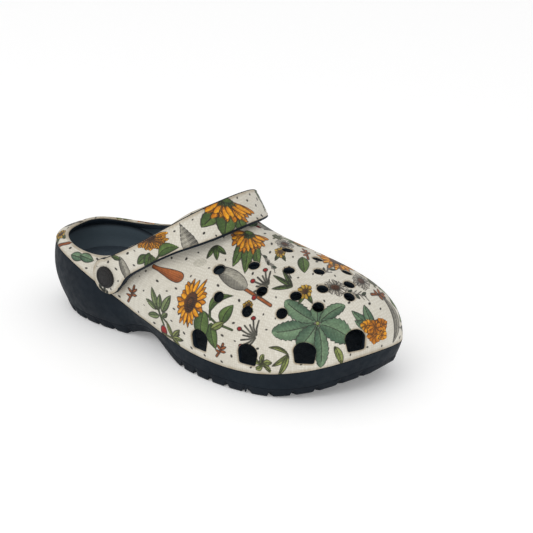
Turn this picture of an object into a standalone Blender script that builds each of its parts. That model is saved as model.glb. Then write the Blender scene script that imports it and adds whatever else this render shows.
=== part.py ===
"""Rubber garden clog for the right foot: tread, midsole, footbed, vented upper and a pivoting strap.

Station runs from the heel (0) to the toe, side is negative on the outer side of the foot, and
height is measured from the ground.  All three are in millimetres; place() turns them into the
part's frame, in metres, with the toe towards +X and the origin under the middle of the shoe.
"""
import math

import bmesh
import bpy
import numpy as np
from mathutils import Vector

MM = 0.001
GAP = 0.3

# Middle of the finished shoe's bounding box, and the pole that every outline turns about
MID_STATION = 142.08
MID_SIDE = -3.0
POLE = 112.0

# Outlines as (station, side, height)
SOLE_LINE = [
    (3, 0, 49), (13, -24, 49), (39, -38, 45), (74, -41, 33), (112, -45, 23),
    (152, -53, 17), (193, -58, 15), (228, -55, 17), (260, -41, 24), (278, -14, 29),
    (283, 12, 29), (274, 36, 25), (248, 49, 21), (212, 52, 20), (172, 48, 21),
    (135, 42, 25), (100, 39, 30), (68, 39, 40), (32, 38, 47), (8, 22, 48)]
OPENING_EDGE = [
    (12, 0, 56), (19, -19, 56), (40, -33, 54), (69, -37, 54), (94, -38, 65),
    (113, -32, 77), (127, -18, 90), (135, 0, 96), (130, 21, 92), (114, 34, 78),
    (94, 38, 65), (67, 37, 56), (36, 34, 53), (14, 20, 55)]
TREAD_EDGE = [
    (12, 0), (20, -20), (43, -32), (76, -35), (105, -34.5), (136, -43), (168, -54), (198, -56),
    (227, -51), (251, -37), (269, -14), (277, 10), (270, 32), (244, 46), (212, 49), (175, 45),
    (140, 37), (105, 32), (72, 33), (40, 31), (20, 18)]

# Pull of the upper's surface at the sole line and at the opening, by direction from the pole
LIFT = [(0, 56), (40, 38), (70, 34), (95, 15), (130, 4), (180, 4), (-130, 4), (-95, 15), (-70, 34), (-40, 38)]
SPREAD = [(0, 2.5), (40, 4), (70, 4), (95, 2), (130, 0), (180, 0.5), (-130, 0), (-95, 2), (-70, 4), (-40, 4)]
REACH = [(0, 55), (40, 51), (70, 19), (95, 4), (130, 1), (180, 1), (-130, 1), (-95, 4), (-70, 20), (-40, 46)]
DROP = [(0, -26), (40, -27), (70, -8), (95, -14), (130, -5), (180, -4), (-130, -5), (-95, -14), (-70, -11),
        (-40, -22)]

# Swell of the sole's side half way up, by direction from the pole
SWELL = [(0, 0.6), (60, 0.6), (95, 1), (120, 2.5), (150, 4.8), (180, 5.3), (-150, 5.5), (-120, 3), (-95, 1),
         (-60, 0.6)]
WALL_STEPS = (0.5, 0.7, 0.87)

# Heights along the shoe, as (station, height)
GROUND_HEIGHT = [
    (0, 9), (20, 4), (42, 0), (88, 0), (102, 5), (114, 7), (126, 5), (140, 2.6), (158, 0), (226, 0), (252, 4),
    (283, 13)]
SEAT_HEIGHT = [(0, 27), (55, 26), (105, 18.5), (150, 11.5), (190, 9.8), (226, 10.6), (258, 15.5), (283, 22)]

TREAD_THICKNESS = 6.0
WALL_WIDTH = 5.0
SEAT_INSET = 7.0
FOOTBED_THICKNESS = 4.2
FOOTBED_DISH = 1.2
COVER_THICKNESS = 0.5
SHELL_THICKNESS = 3.8

# Tread grooves across the forefoot and the heel
GROOVE_WIDTH = 3.2
GROOVE_DEPTH = 3.0
GROOVES = [(24.0, 14.0, 6), (158.0, 14.0, 8)]
BAR_LENGTH = 200.0
BAR_DEPTH = 20.0

# Small round holes on the vamp and large vents above the sole line
ROUND_HOLE_RADIUS = 3.8
ROUND_HOLES = [
    (177, -36), (197, -24), (219, -15), (187, -48), (214, -36.5), (236, -29), (246, -14), (211, -48),
    (234, -41), (252, -26), (261, -5), (254, 4), (234, -2), (203, 4), (222, 12), (243, 16), (197, 23),
    (213, 31), (233, 29), (177, 33), (191, 43), (212, 45), (232, 40), (247, 30)]
VENT_WIDTH = 15.0
VENT_HEIGHT = 14.0
VENT_RISE = 12.5
VENT_FOOT = 0.86
VENT_ARCH = 0.8
CUTTER_REACH = 9.0
VENT_DIRECTIONS = [-41, -28, -17, -6, 17, 28, 41]

# Strap, in the plane that holds the rivet axis and leans forward over the vamp
HINGE_STATION = 84.5
HINGE_HEIGHT = 45.0
HINGE_SIDE = -1.0
STRAP_LEAN = math.radians(34.6)
STRAP_CREST = 93.5
ARM_LENGTH = 47.0
ARM_FLARE = 4.2
ARCH_SWELL = 5.0
STRAP_THICKNESS = 3.4
END_RADIUS = 13.0
END_DIRECTIONS = [8, 25, 42, 60, 78, 96, 115]
ARM_STEPS = [12.0, 20.0, 29.0, 38.0]
ARCH_STEPS = 13
STRAP_EDGES = [(6, -11.2, 11.6), (18, -8.6, 10.8), (46, -8.3, 8.9), (70, -9.6, 8.7), (93, -13.2, 9.8)]

# Rivets; distances run out from the shoe's middle along the rivet axis
CAP_RADIUS = 7.8
CAP_THICKNESS = 2.4
CAP_DOME = [(0, 0), (0.6, 0.1), (0.9, 0.4), (1, 0.75)]
SHANK_RADIUS = 3.0
BORE_RADIUS = 3.3
WASHER_RADIUS = 6.6
WASHER_THICKNESS = 2.0
WASHER_OUT = 39.4
SOCKET_RADIUS = 6.5
SOCKET_THICKNESS = 2.2
SOCKET_OUT = 32.2
SOCKET_BORE_DEPTH = 1.6
SOCKET_BEVEL = (1.2, 0.6)
TURN_STEPS = 16
BORE_SIDES = 24
STRAP_OUT = WASHER_OUT + WASHER_THICKNESS + GAP
STRAP_COVER_DEPTH = STRAP_THICKNESS + GAP
CAP_OUT = STRAP_OUT + STRAP_COVER_DEPTH + COVER_THICKNESS + GAP

# Mesh density
AROUND = 52
UP = 8
HOLE_SIDES = 10
HOLE_TURN = 0.2
SEARCH_STEPS = 400
DISC_STEPS = (0.84, 0.66, 0.3)


def place(points):
    """Shoe measurements in millimetres to the part's frame in metres."""
    return (np.asarray(points, float) - (MID_STATION, MID_SIDE, 0.0)) * MM


def closed_spline(knots, values, query):
    """Periodic natural cubic through values at angles knots."""
    order = np.argsort(knots)
    knots = np.asarray(knots, float)[order]
    values = np.asarray(values, float)[order]
    count = len(knots)
    widths = np.diff(np.append(knots, knots[0] + 2 * math.pi))
    matrix = np.zeros((count, count))
    bends = np.zeros(count)
    for i in range(count):
        before = widths[i - 1]
        after = widths[i]
        following = (i + 1) % count
        matrix[i, i - 1] += before
        matrix[i, i] += 2 * (before + after)
        matrix[i, following] += after
        bends[i] = 6 * ((values[following] - values[i]) / after - (values[i] - values[i - 1]) / before)
    curve = np.linalg.solve(matrix, bends)
    query = (np.asarray(query, float) - knots[0]) % (2 * math.pi) + knots[0]
    i = np.searchsorted(knots, query, side="right") - 1
    j = (i + 1) % count
    width = widths[i]
    past = query - knots[i]
    left = width - past
    cubic = (curve[i] * left ** 3 + curve[j] * past ** 3) / (6 * width)
    line = (values[i] / width - curve[i] * width / 6) * left
    return cubic + line + (values[j] / width - curve[j] * width / 6) * past


def directional(pairs):
    """Function of direction through (degrees, value) pairs."""
    return lambda angles: closed_spline(np.radians([a for a, _ in pairs]), [v for _, v in pairs], angles)


def polar(outline):
    """Radius function, and height function if the outline has heights, about the pole."""
    points = np.asarray(outline, float)
    angles = np.arctan2(points[:, 1], points[:, 0] - POLE)
    radii = np.hypot(points[:, 0] - POLE, points[:, 1])
    functions = [lambda query: closed_spline(angles, radii, query)]
    if points.shape[1] == 3:
        functions.append(lambda query: closed_spline(angles, points[:, 2], query))
    return functions


def along(pairs, stations):
    """Smooth height at each station, with level ends to each stretch."""
    xs, ys = np.asarray(pairs, float).T
    slopes = np.gradient(ys, xs)
    flat = (np.diff(ys, prepend=ys[0]) * np.diff(ys, append=ys[-1])) <= 0
    slopes[flat] = 0
    stations = np.clip(stations, xs[0], xs[-1])
    i = np.clip(np.searchsorted(xs, stations, side="right") - 1, 0, len(xs) - 2)
    span = xs[i + 1] - xs[i]
    t = (stations - xs[i]) / span
    rise = (2 * t ** 3 - 3 * t ** 2 + 1) * ys[i] + (3 * t ** 2 - 2 * t ** 3) * ys[i + 1]
    return rise + (t ** 3 - 2 * t ** 2 + t) * span * slopes[i] + (t ** 3 - t ** 2) * span * slopes[i + 1]


sole_radius, sole_height = polar(SOLE_LINE)
edge_radius, edge_height = polar(OPENING_EDGE)
tread_radius = polar(TREAD_EDGE)[0]
lift, spread, reach, drop, swell = (directional(pairs) for pairs in (LIFT, SPREAD, REACH, DROP, SWELL))


def ring(angles, radii, heights):
    """Points around the pole."""
    angles, radii, heights = np.broadcast_arrays(angles, radii, heights)
    return np.stack([POLE + radii * np.cos(angles), radii * np.sin(angles), heights], -1)


def upper_surface(angles, steps):
    """Outer face of the upper, from the sole line (step 0) to the opening (step 1)."""
    a = np.asarray(angles, float)[:, None]
    v = np.asarray(steps, float)[None, :]
    weights = ((1 - v) ** 3, 3 * v * (1 - v) ** 2, 3 * v * v * (1 - v), v ** 3)
    r0 = sole_radius(a)
    z0 = sole_height(a) + GAP
    r3 = edge_radius(a)
    z3 = edge_height(a)
    radii = weights[0] * r0 + weights[1] * (r0 + spread(a)) + weights[2] * (r3 + reach(a)) + weights[3] * r3
    heights = weights[0] * z0 + weights[1] * (z0 + lift(a)) + weights[2] * (z3 + drop(a)) + weights[3] * z3
    return ring(a, radii, heights)


def upper_normals(angles, steps):
    """Outward unit normals of the upper's outer face."""
    nudge = 1e-4
    across = upper_surface(angles + nudge, steps) - upper_surface(angles - nudge, steps)
    rise = upper_surface(angles, steps + nudge) - upper_surface(angles, steps - nudge)
    normals = np.cross(across, rise)
    return normals / np.linalg.norm(normals, axis=-1, keepdims=True)


def sunk_surface(angles, steps, depth):
    """The upper's face moved inwards; its lowest row stays level so that it rests on the midsole."""
    inwards = -upper_normals(angles, steps)
    inwards[..., 2] *= steps
    inwards /= np.linalg.norm(inwards, axis=-1, keepdims=True)
    return upper_surface(angles, steps) + depth * inwards


def new_object(name, mesh, collection, material=None):
    """Object with the mesh, in the collection."""
    part = bpy.data.objects.new(name, mesh)
    collection.objects.link(part)
    if material:
        mesh.materials.append(material)
    return part


def grid_mesh(name, rows, closed_rows=True, cap_ends=False, turn=None):
    """Mesh through rows of points; each row closes on itself, and rows join into a loop or get caps.

    From row turn on, faces split along their other diagonal, so that the two faces of a thin layer
    are split alike and stay parallel.
    """
    rows = [place(row) for row in rows]
    mesh = bpy.data.meshes.new(name)
    shape = bmesh.new()
    verts = [[shape.verts.new(point) for point in row] for row in rows]
    count = len(rows[0])
    last = len(rows) if closed_rows else len(rows) - 1
    for i in range(last):
        lower = verts[i]
        upper = verts[(i + 1) % len(rows)]
        for j in range(count):
            k = (j + 1) % count
            corners = (lower[j], lower[k], upper[k], upper[j])
            if turn is None:
                shape.faces.new(corners)
            elif i < turn:
                shape.faces.new((corners[0], corners[1], corners[2]))
                shape.faces.new((corners[0], corners[2], corners[3]))
            else:
                shape.faces.new((corners[0], corners[1], corners[3]))
                shape.faces.new((corners[1], corners[2], corners[3]))
    if cap_ends:
        for row in (verts[0], verts[-1]):
            middle = shape.verts.new(sum((vert.co for vert in row), Vector()) / count)
            for j in range(count):
                shape.faces.new((row[j], row[(j + 1) % count], middle))
    bmesh.ops.recalc_face_normals(shape, faces=shape.faces[:])
    shape.to_mesh(mesh)
    shape.free()
    return mesh


def disc_rows(edge, height, edge_first=True):
    """Rows of a disc from its edge to near the pole, with heights from a function of station."""
    rows = []
    for step in (1.0,) + DISC_STEPS:
        row = edge.copy()
        row[:, 0] = POLE + (edge[:, 0] - POLE) * step
        row[:, 1] = edge[:, 1] * step
        row[:, 2] = height(row[:, 0], step)
        rows.append(row)
    return rows if edge_first else rows[::-1]


def ground(stations, step=1.0):
    """Height of the tread's lowest face."""
    return along(GROUND_HEIGHT, stations)


def tread_top(stations, step=1.0):
    """Height of the tread's upper face."""
    return ground(stations) + TREAD_THICKNESS


def midsole_underside(stations, step=1.0):
    """Height of the midsole's lower face."""
    return tread_top(stations) + GAP


def seat(stations, step=1.0):
    """Height of the midsole's inner floor."""
    return along(SEAT_HEIGHT, stations)


def footbed_underside(stations, step=1.0):
    """Height of the footbed's lower face."""
    return seat(stations) + GAP


def footbed_top(stations, step):
    """Height of the footbed's upper face, dished towards its middle."""
    return footbed_underside(stations) + FOOTBED_THICKNESS - FOOTBED_DISH * (1 - step)


def angles_around():
    """Directions of the outline's points, evenly spaced along the sole line."""
    angles = np.linspace(-math.pi, math.pi, 1441)
    line = ring(angles, sole_radius(angles), 0.0)
    length = np.concatenate([[0], np.cumsum(np.linalg.norm(np.diff(line, axis=0), axis=1))])
    return np.interp(np.linspace(0, length[-1], AROUND, endpoint=False), length, angles)


def side_ends(angles):
    """Lower and upper edge of the sole's side."""
    low = ring(angles, tread_radius(angles), 0.0)
    low[:, 2] = ground(low[:, 0])
    return low, ring(angles, sole_radius(angles), sole_height(angles))


def wall_ring(angles, share):
    """Ring on the sole's side, at a share of the way up from the tread's edge to the sole line."""
    low, high = side_ends(angles)
    share = np.broadcast_to(share, angles.shape)
    bulge = ring(angles, swell(angles) * np.sin(math.pi * share), 0.0) - (POLE, 0, 0)
    return low + (high - low) * share[:, None] + bulge


def side_ring(angles, rise):
    """Ring on the sole's side, a given rise above the tread's edge."""
    low, high = side_ends(angles)
    return wall_ring(angles, rise / (high[:, 2] - low[:, 2]))


def inset_ring(angles, depth):
    """The sole line moved inwards, level with itself."""
    return sunk_surface(angles, np.array([0.0]), depth)[:, 0] - (0, 0, GAP)


def outsole(collection, material):
    """Rubber tread: flat under the heel and forefoot, rising at both ends, cut by cross grooves."""
    angles = angles_around()
    rows = disc_rows(ring(angles, tread_radius(angles), 0.0), ground, False)
    rows += disc_rows(side_ring(angles, TREAD_THICKNESS), tread_top)
    return new_object("outsole", grid_mesh("outsole", rows, False, True, len(rows) // 2), collection, material)


def midsole(collection, material):
    """Navy cup: the sole's side up to the sole line, and a floor that rises to the heel."""
    angles = angles_around()
    rows = disc_rows(side_ring(angles, TREAD_THICKNESS + GAP), midsole_underside, False)
    floor_turn = len(rows) + 1
    rows += [wall_ring(angles, share) for share in WALL_STEPS]
    rows.append(inset_ring(angles, 0.0))
    rows.append(inset_ring(angles, WALL_WIDTH))
    rows += disc_rows(inset_ring(angles, SEAT_INSET), seat)
    return new_object("midsole", grid_mesh("midsole", rows, False, True, floor_turn), collection, material)


def footbed(collection, material):
    """Loose insole that lies on the midsole's floor."""
    edge = inset_ring(angles_around(), SEAT_INSET + 3 * GAP)
    rows = disc_rows(edge, footbed_underside, False) + disc_rows(edge, footbed_top)
    return new_object("footbed", grid_mesh("footbed", rows, False, True, len(rows) // 2), collection, material)


def upper_layer(name, depth, thickness, collection, material):
    """One layer of the upper, between two depths below its outer face."""
    angles = angles_around()
    steps = np.linspace(0, 1, UP)
    outer = sunk_surface(angles, steps, depth)
    inner = sunk_surface(angles, steps, depth + thickness)
    rows = [outer[:, i] for i in range(UP)] + [inner[:, i] for i in reversed(range(UP))]
    return new_object(name, grid_mesh(name, rows, turn=UP), collection, material)


def prism(name, outline, centre, normal, depth, collection):
    """Cutter with the outline in millimetres, centred on a point and running along its normal."""
    normal = Vector(normal)
    side = Vector((0, 0, 1)).cross(normal).normalized()
    rise = normal.cross(side)
    rows = []
    for end in (-depth, depth):
        rows.append([Vector(centre) + side * x + rise * y + normal * end for x, y in outline])
    cutter = new_object(name, grid_mesh(name, rows, False, True), collection)
    cutter.hide_render = True
    cutter.display_type = "WIRE"
    return cutter


def point_on_upper(direction, radius):
    """Point and normal of the upper's face at a plan direction and radius from the pole."""
    steps = np.linspace(0.05, 1, SEARCH_STEPS)
    angles = np.array([direction])
    face = upper_surface(angles, steps)[0]
    radii = np.hypot(face[:, 0] - POLE, face[:, 1])
    step = steps[np.argmin(np.abs(radii - radius))]
    return upper_surface(angles, np.array([step]))[0, 0], upper_normals(angles, np.array([step]))[0, 0]


def vent_outline():
    """Vent shape: straight foot and sides, round head."""
    half = VENT_WIDTH / 2
    foot = -VENT_HEIGHT / 2
    head = VENT_HEIGHT / 2 - half * VENT_ARCH
    arc = [(half * math.cos(a), head + VENT_ARCH * half * math.sin(a)) for a in np.linspace(0, math.pi, 7)]
    return [(-half * VENT_FOOT, foot), (half * VENT_FOOT, foot)] + arc


def upper_cutters(collection):
    """Cutters of the round holes and of the vents."""
    circle = [(ROUND_HOLE_RADIUS * math.cos(a), ROUND_HOLE_RADIUS * math.sin(a))
              for a in np.linspace(HOLE_TURN, HOLE_TURN + 2 * math.pi, HOLE_SIDES, endpoint=False)]
    for number, (station, side) in enumerate(ROUND_HOLES):
        point, normal = point_on_upper(math.atan2(side, station - POLE), math.hypot(station - POLE, side))
        prism(f"hole_cutter_{number}", circle, point, normal, CUTTER_REACH, collection)
    for number, degrees in enumerate(VENT_DIRECTIONS):
        angles = np.array([math.radians(degrees)])
        steps = np.linspace(0, 0.5, SEARCH_STEPS)
        rises = upper_surface(angles, steps)[0, :, 2] - sole_height(angles)
        step = np.array([steps[np.argmin(np.abs(rises - VENT_RISE))]])
        point = upper_surface(angles, step)[0, 0]
        normal = upper_normals(angles, step)[0, 0]
        prism(f"vent_cutter_{number}", vent_outline(), point, normal, CUTTER_REACH, collection)


def cut_with(part, collection):
    """Boolean difference with everything in the collection."""
    cut = part.modifiers.new("holes", "BOOLEAN")
    cut.operation = "DIFFERENCE"
    cut.operand_type = "COLLECTION"
    cut.collection = collection


def groove_cutters(collection):
    """Bars that cut the tread's grooves; each follows the tread's rise."""
    for first, pitch, count in GROOVES:
        for i in range(count):
            station = first + i * pitch
            centre = place((station, 0, float(ground(station)) + GROOVE_DEPTH - BAR_DEPTH / 2))
            bpy.ops.mesh.primitive_cube_add(size=1, location=centre)
            bar = bpy.context.object
            bar.name = f"groove_cutter_{round(station)}"
            bar.scale = (GROOVE_WIDTH * MM, BAR_LENGTH * MM, BAR_DEPTH * MM)
            bar.users_collection[0].objects.unlink(bar)
            collection.objects.link(bar)
            bar.hide_render = True
            bar.display_type = "WIRE"


def strap_path():
    """Distances forward and half spans of one arm and half the arch, rivet end first."""
    end = [(-END_RADIUS * math.cos(a), STRAP_OUT) for a in np.radians(END_DIRECTIONS)]
    arm = [(forward, STRAP_OUT + ARM_FLARE * (forward / ARM_LENGTH) ** 1.5) for forward in ARM_STEPS]
    arch = []
    for a in np.radians(np.linspace(90, 0, ARCH_STEPS)):
        span = STRAP_OUT + ARM_FLARE + ARCH_SWELL * math.sin(2 * a) ** 2
        arch.append((ARM_LENGTH + (STRAP_CREST - ARM_LENGTH) * math.cos(a), span * math.sin(a)))
    return end + arm + arch


def strap_edges(forward):
    """Lower and upper edge of the band, measured square to the strap's plane."""
    table = np.asarray(STRAP_EDGES)
    low = along(table[:, (0, 1)], forward)
    high = along(table[:, (0, 2)], forward)
    if forward < STRAP_EDGES[0][0]:
        half = math.sqrt(max(END_RADIUS ** 2 - forward ** 2, 0.0))
        low, high = -half, half
    return float(low), float(high)


def strap_layer(name, depth, thickness, collection, material):
    """One layer of the strap band between two depths outside its inner face, rivet to rivet."""
    half_path = strap_path()
    path = [(a, -s) for a, s in half_path] + [(a, s) for a, s in reversed(half_path[:-1])]
    flat = np.array(path)
    tangents = np.gradient(flat, axis=0)
    tangents /= np.linalg.norm(tangents, axis=1, keepdims=True)
    outward = np.stack([tangents[:, 1], -tangents[:, 0]], 1)
    rows = []
    for (forward, side), out in zip(flat, outward):
        low, high = strap_edges(forward)
        row = []
        for away, rise in ((depth, low), (depth, high), (depth + thickness, high), (depth + thickness, low)):
            row.append(strap_point(forward + out[0] * away, side + out[1] * away, rise))
        rows.append(row)
    return new_object(name, grid_mesh(name, rows, False, True), collection, material)


def strap_point(forward, side, rise):
    """Strap measurements to station, side and height."""
    lean = STRAP_LEAN
    station = HINGE_STATION + forward * math.cos(lean) - rise * math.sin(lean)
    height = HINGE_HEIGHT + forward * math.sin(lean) + rise * math.cos(lean)
    return station, HINGE_SIDE + side, height


def turned(name, profile, side_sign, collection, material=None):
    """Solid turned about the rivet axis from (radius, distance out from the shoe's middle) points."""
    mesh = bpy.data.meshes.new(name)
    shape = bmesh.new()
    verts = [shape.verts.new((radius * MM, 0, out * MM)) for radius, out in profile]
    for a, b in zip(verts, verts[1:]):
        shape.edges.new((a, b))
    if profile[0][0] > 0:
        shape.edges.new((verts[-1], verts[0]))
    shape.to_mesh(mesh)
    shape.free()
    part = new_object(name, mesh, collection, material)
    part.location = place((HINGE_STATION, HINGE_SIDE, HINGE_HEIGHT))
    part.rotation_euler = (math.radians(-90 * side_sign), 0, 0)
    screw = part.modifiers.new("turn", "SCREW")
    screw.steps = TURN_STEPS
    screw.render_steps = TURN_STEPS
    screw.use_merge_vertices = True
    screw.merge_threshold = 0.00001
    return part


def rivet(side_name, side_sign, collection, cap_material, washer_material):
    """Cap with its shank, the washer under the strap, and the socket inside the shoe."""
    cap_top = CAP_OUT + CAP_THICKNESS
    shank_end = SOCKET_OUT - SOCKET_BORE_DEPTH + GAP
    cap = [(share * CAP_RADIUS, cap_top - fall * CAP_THICKNESS) for share, fall in CAP_DOME]
    cap += [(CAP_RADIUS, CAP_OUT), (SHANK_RADIUS, CAP_OUT), (SHANK_RADIUS, shank_end), (0, shank_end)]
    washer = [(BORE_RADIUS, WASHER_OUT + WASHER_THICKNESS), (WASHER_RADIUS, WASHER_OUT + WASHER_THICKNESS),
              (WASHER_RADIUS, WASHER_OUT), (BORE_RADIUS, WASHER_OUT)]
    socket_in = SOCKET_OUT - SOCKET_THICKNESS
    bore_floor = SOCKET_OUT - SOCKET_BORE_DEPTH
    socket = [(0, bore_floor), (BORE_RADIUS, bore_floor), (BORE_RADIUS, SOCKET_OUT),
              (SOCKET_RADIUS, SOCKET_OUT), (SOCKET_RADIUS, socket_in + SOCKET_BEVEL[1]),
              (SOCKET_RADIUS - SOCKET_BEVEL[0], socket_in), (0, socket_in)]
    turned(f"rivet_cap_{side_name}", cap, side_sign, collection, cap_material)
    turned(f"strap_washer_{side_name}", washer, side_sign, collection, washer_material)
    turned(f"rivet_socket_{side_name}", socket, side_sign, collection, cap_material)


def rivet_bore_cutter(collections):
    """One long cylinder that bores both sides of whatever it cuts."""
    bpy.ops.mesh.primitive_cylinder_add(vertices=BORE_SIDES, radius=BORE_RADIUS * MM, depth=3 * CAP_OUT * MM,
                                        location=place((HINGE_STATION, HINGE_SIDE, HINGE_HEIGHT)),
                                        rotation=(math.radians(90), 0, 0))
    bore = bpy.context.object
    bore.name = "rivet_bore_cutter"
    bore.users_collection[0].objects.unlink(bore)
    for collection in collections:
        collection.objects.link(bore)
    bore.hide_render = True
    bore.display_type = "WIRE"


def material(name, colour, roughness, metallic=0.0):
    """Plain Principled material."""
    look = bpy.data.materials.new(name)
    look.use_nodes = True
    shader = look.node_tree.nodes["Principled BSDF"]
    shader.inputs["Base Color"].default_value = (*colour, 1.0)
    shader.inputs["Roughness"].default_value = roughness
    shader.inputs["Metallic"].default_value = metallic
    return look


def new_collection(name):
    """Collection linked to the scene."""
    collection = bpy.data.collections.new(name)
    bpy.context.scene.collection.children.link(collection)
    return collection


def main():
    """Build every part of the shoe."""
    for old in list(bpy.data.objects):
        bpy.data.objects.remove(old)
    parts = new_collection("garden_clog")
    grooves = new_collection("groove_cutters")
    holes = new_collection("hole_cutters")
    bores = new_collection("bore_cutters")

    tread_rubber = material("tread_rubber", (0.018, 0.026, 0.038), 0.75)
    navy_foam = material("navy_foam", (0.02, 0.03, 0.045), 0.6)
    footbed_foam = material("footbed_foam", (0.025, 0.035, 0.05), 0.8)
    printed_skin = material("printed_skin", (0.62, 0.58, 0.48), 0.55)
    rivet_plastic = material("rivet_plastic", (0.035, 0.037, 0.04), 0.45)
    washer_plastic = material("washer_plastic", (0.05, 0.055, 0.06), 0.35)

    groove_cutters(grooves)
    upper_cutters(holes)
    rivet_bore_cutter((holes, bores))

    cut_with(outsole(parts, tread_rubber), grooves)
    midsole(parts, navy_foam)
    footbed(parts, footbed_foam)
    shell_depth = COVER_THICKNESS + GAP
    for layer in (upper_layer("upper_shell", shell_depth, SHELL_THICKNESS, parts, navy_foam),
                  upper_layer("upper_print_cover", 0.0, COVER_THICKNESS, parts, printed_skin)):
        cut_with(layer, holes)
    for layer in (strap_layer("strap_core", 0.0, STRAP_THICKNESS, parts, navy_foam),
                  strap_layer("strap_print_cover", STRAP_COVER_DEPTH, COVER_THICKNESS, parts, printed_skin)):
        cut_with(layer, bores)
    for side_name, side_sign in (("lateral", -1), ("medial", 1)):
        rivet(side_name, side_sign, parts, rivet_plastic, washer_plastic)


main()
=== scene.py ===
"""Looks of the garden clog: printed skins, foam, tread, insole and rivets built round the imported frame.

Station runs from the heel to the toe, side is negative on the outer side of the foot, and height is
measured from the ground, all in millimetres; place() turns them into metres in the frame's axes.
"""

import math

import bpy
import numpy as np
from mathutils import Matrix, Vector
from mathutils.kdtree import KDTree


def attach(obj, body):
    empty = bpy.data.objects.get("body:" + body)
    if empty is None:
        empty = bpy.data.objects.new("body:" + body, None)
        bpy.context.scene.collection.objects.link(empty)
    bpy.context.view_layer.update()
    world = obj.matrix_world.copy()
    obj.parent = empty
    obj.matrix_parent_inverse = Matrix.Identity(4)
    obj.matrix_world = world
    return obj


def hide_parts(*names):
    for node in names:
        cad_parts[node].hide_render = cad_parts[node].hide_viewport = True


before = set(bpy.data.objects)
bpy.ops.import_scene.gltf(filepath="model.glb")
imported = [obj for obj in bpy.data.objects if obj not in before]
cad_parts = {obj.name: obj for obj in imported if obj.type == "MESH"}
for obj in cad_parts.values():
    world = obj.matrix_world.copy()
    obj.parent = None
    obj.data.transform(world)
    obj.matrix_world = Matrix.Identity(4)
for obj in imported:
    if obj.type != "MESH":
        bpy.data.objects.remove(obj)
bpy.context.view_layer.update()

MM = 0.001
GAP = 0.3             # room between neighbouring pieces
MID_STATION = 142.08  # the frame's origin
MID_SIDE = -3.0
POLE = 112.0          # station of the upright axis that directions turn about

# ---------------------------------------------------------------- shape of the shoe, as in the CAD part
# Outlines seen from above, as (station, side), with the height where the line isn't level
SOLE_LINE = [
    (3, 0, 49), (13, -24, 49), (39, -38, 45), (74, -41, 33), (112, -45, 23),
    (152, -53, 17), (193, -58, 15), (228, -55, 17), (260, -41, 24), (278, -14, 29),
    (283, 12, 29), (274, 36, 25), (248, 49, 21), (212, 52, 20), (172, 48, 21),
    (135, 42, 25), (100, 39, 30), (68, 39, 40), (32, 38, 47), (8, 22, 48)]
OPENING_EDGE = [
    (12, 0, 56), (19, -19, 56), (40, -33, 54), (69, -37, 54), (94, -38, 65),
    (113, -32, 77), (127, -18, 90), (135, 0, 96), (130, 21, 92), (114, 34, 78),
    (94, 38, 65), (67, 37, 56), (36, 34, 53), (14, 20, 55)]
TREAD_EDGE = [
    (12, 0), (20, -20), (43, -32), (76, -35), (105, -34.5), (136, -43), (168, -54), (198, -56),
    (227, -51), (251, -37), (269, -14), (277, 10), (270, 32), (244, 46), (212, 49), (175, 45),
    (140, 37), (105, 32), (72, 33), (40, 31), (20, 18)]

# Pull of the upper's surface at the sole line and at the opening, as (degrees, millimetres)
LIFT = [(0, 56), (40, 38), (70, 34), (95, 15), (130, 4), (180, 4), (-130, 4), (-95, 15), (-70, 34),
        (-40, 38)]
SPREAD = [(0, 2.5), (40, 4), (70, 4), (95, 2), (130, 0), (180, 0.5), (-130, 0), (-95, 2), (-70, 4),
          (-40, 4)]
REACH = [(0, 55), (40, 51), (70, 19), (95, 4), (130, 1), (180, 1), (-130, 1), (-95, 4), (-70, 20),
         (-40, 46)]
DROP = [(0, -26), (40, -27), (70, -8), (95, -14), (130, -5), (180, -4), (-130, -5), (-95, -14), (-70, -11),
        (-40, -22)]

# Swell of the sole's side half way up, as (degrees, millimetres)
SWELL = [(0, 0.6), (60, 0.6), (95, 1), (120, 2.5), (150, 4.8), (180, 5.3), (-150, 5.5), (-120, 3), (-95, 1),
         (-60, 0.6)]

# Heights along the shoe, as (station, height): the tread's lowest faces and the floor under the insole
GROUND_HEIGHT = [
    (0, 9), (20, 4), (42, 0), (88, 0), (102, 5), (114, 7), (126, 5), (140, 2.6), (158, 0), (226, 0),
    (252, 4), (283, 13)]
SEAT_HEIGHT = [(0, 27), (55, 26), (105, 18.5), (150, 11.5), (190, 9.8), (226, 10.6), (258, 15.5), (283, 22)]

TREAD_THICKNESS = 6.0
TREAD_JOINT = 0.12
SKIN_THICKNESS = 0.8
WALL_THICKNESS = 4.6
ROLL = WALL_THICKNESS / 2
SEAT_INSET = 7.0
FOOTBED_THICKNESS = 4.2
FOOTBED_DISH = 1.2

ROUND_HOLE_RADIUS = 3.8
ROUND_HOLES = [
    (177, -36), (197, -24), (219, -15), (187, -48), (214, -36.5), (236, -29), (246, -14), (211, -48),
    (234, -41), (252, -26), (261, -5), (254, 4), (234, -2), (203, 4), (222, 12), (243, 16), (197, 23),
    (213, 31), (233, 29), (177, 33), (191, 43), (212, 45), (232, 40), (247, 30)]
VENT_WIDTH = 15.0
VENT_HEIGHT = 14.0
VENT_RISE = 12.5
VENT_FOOT = 0.86
VENT_ARCH = 0.8
VENT_CORNER = 1.7
VENT_DIRECTIONS = [-41, -28, -17, -6, 17, 28, 41]

HINGE_STATION = 84.5
HINGE_HEIGHT = 45.0
HINGE_SIDE = -1.0
STRAP_LEAN = math.radians(34.6)
STRAP_CREST = 93.5
ARM_LENGTH = 47.0
ARM_FLARE = 4.2
ARCH_SWELL = 5.0
CORE_THICKNESS = 3.7
STRAP_THICKNESS = 4.2
END_RADIUS = 13.0

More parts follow.
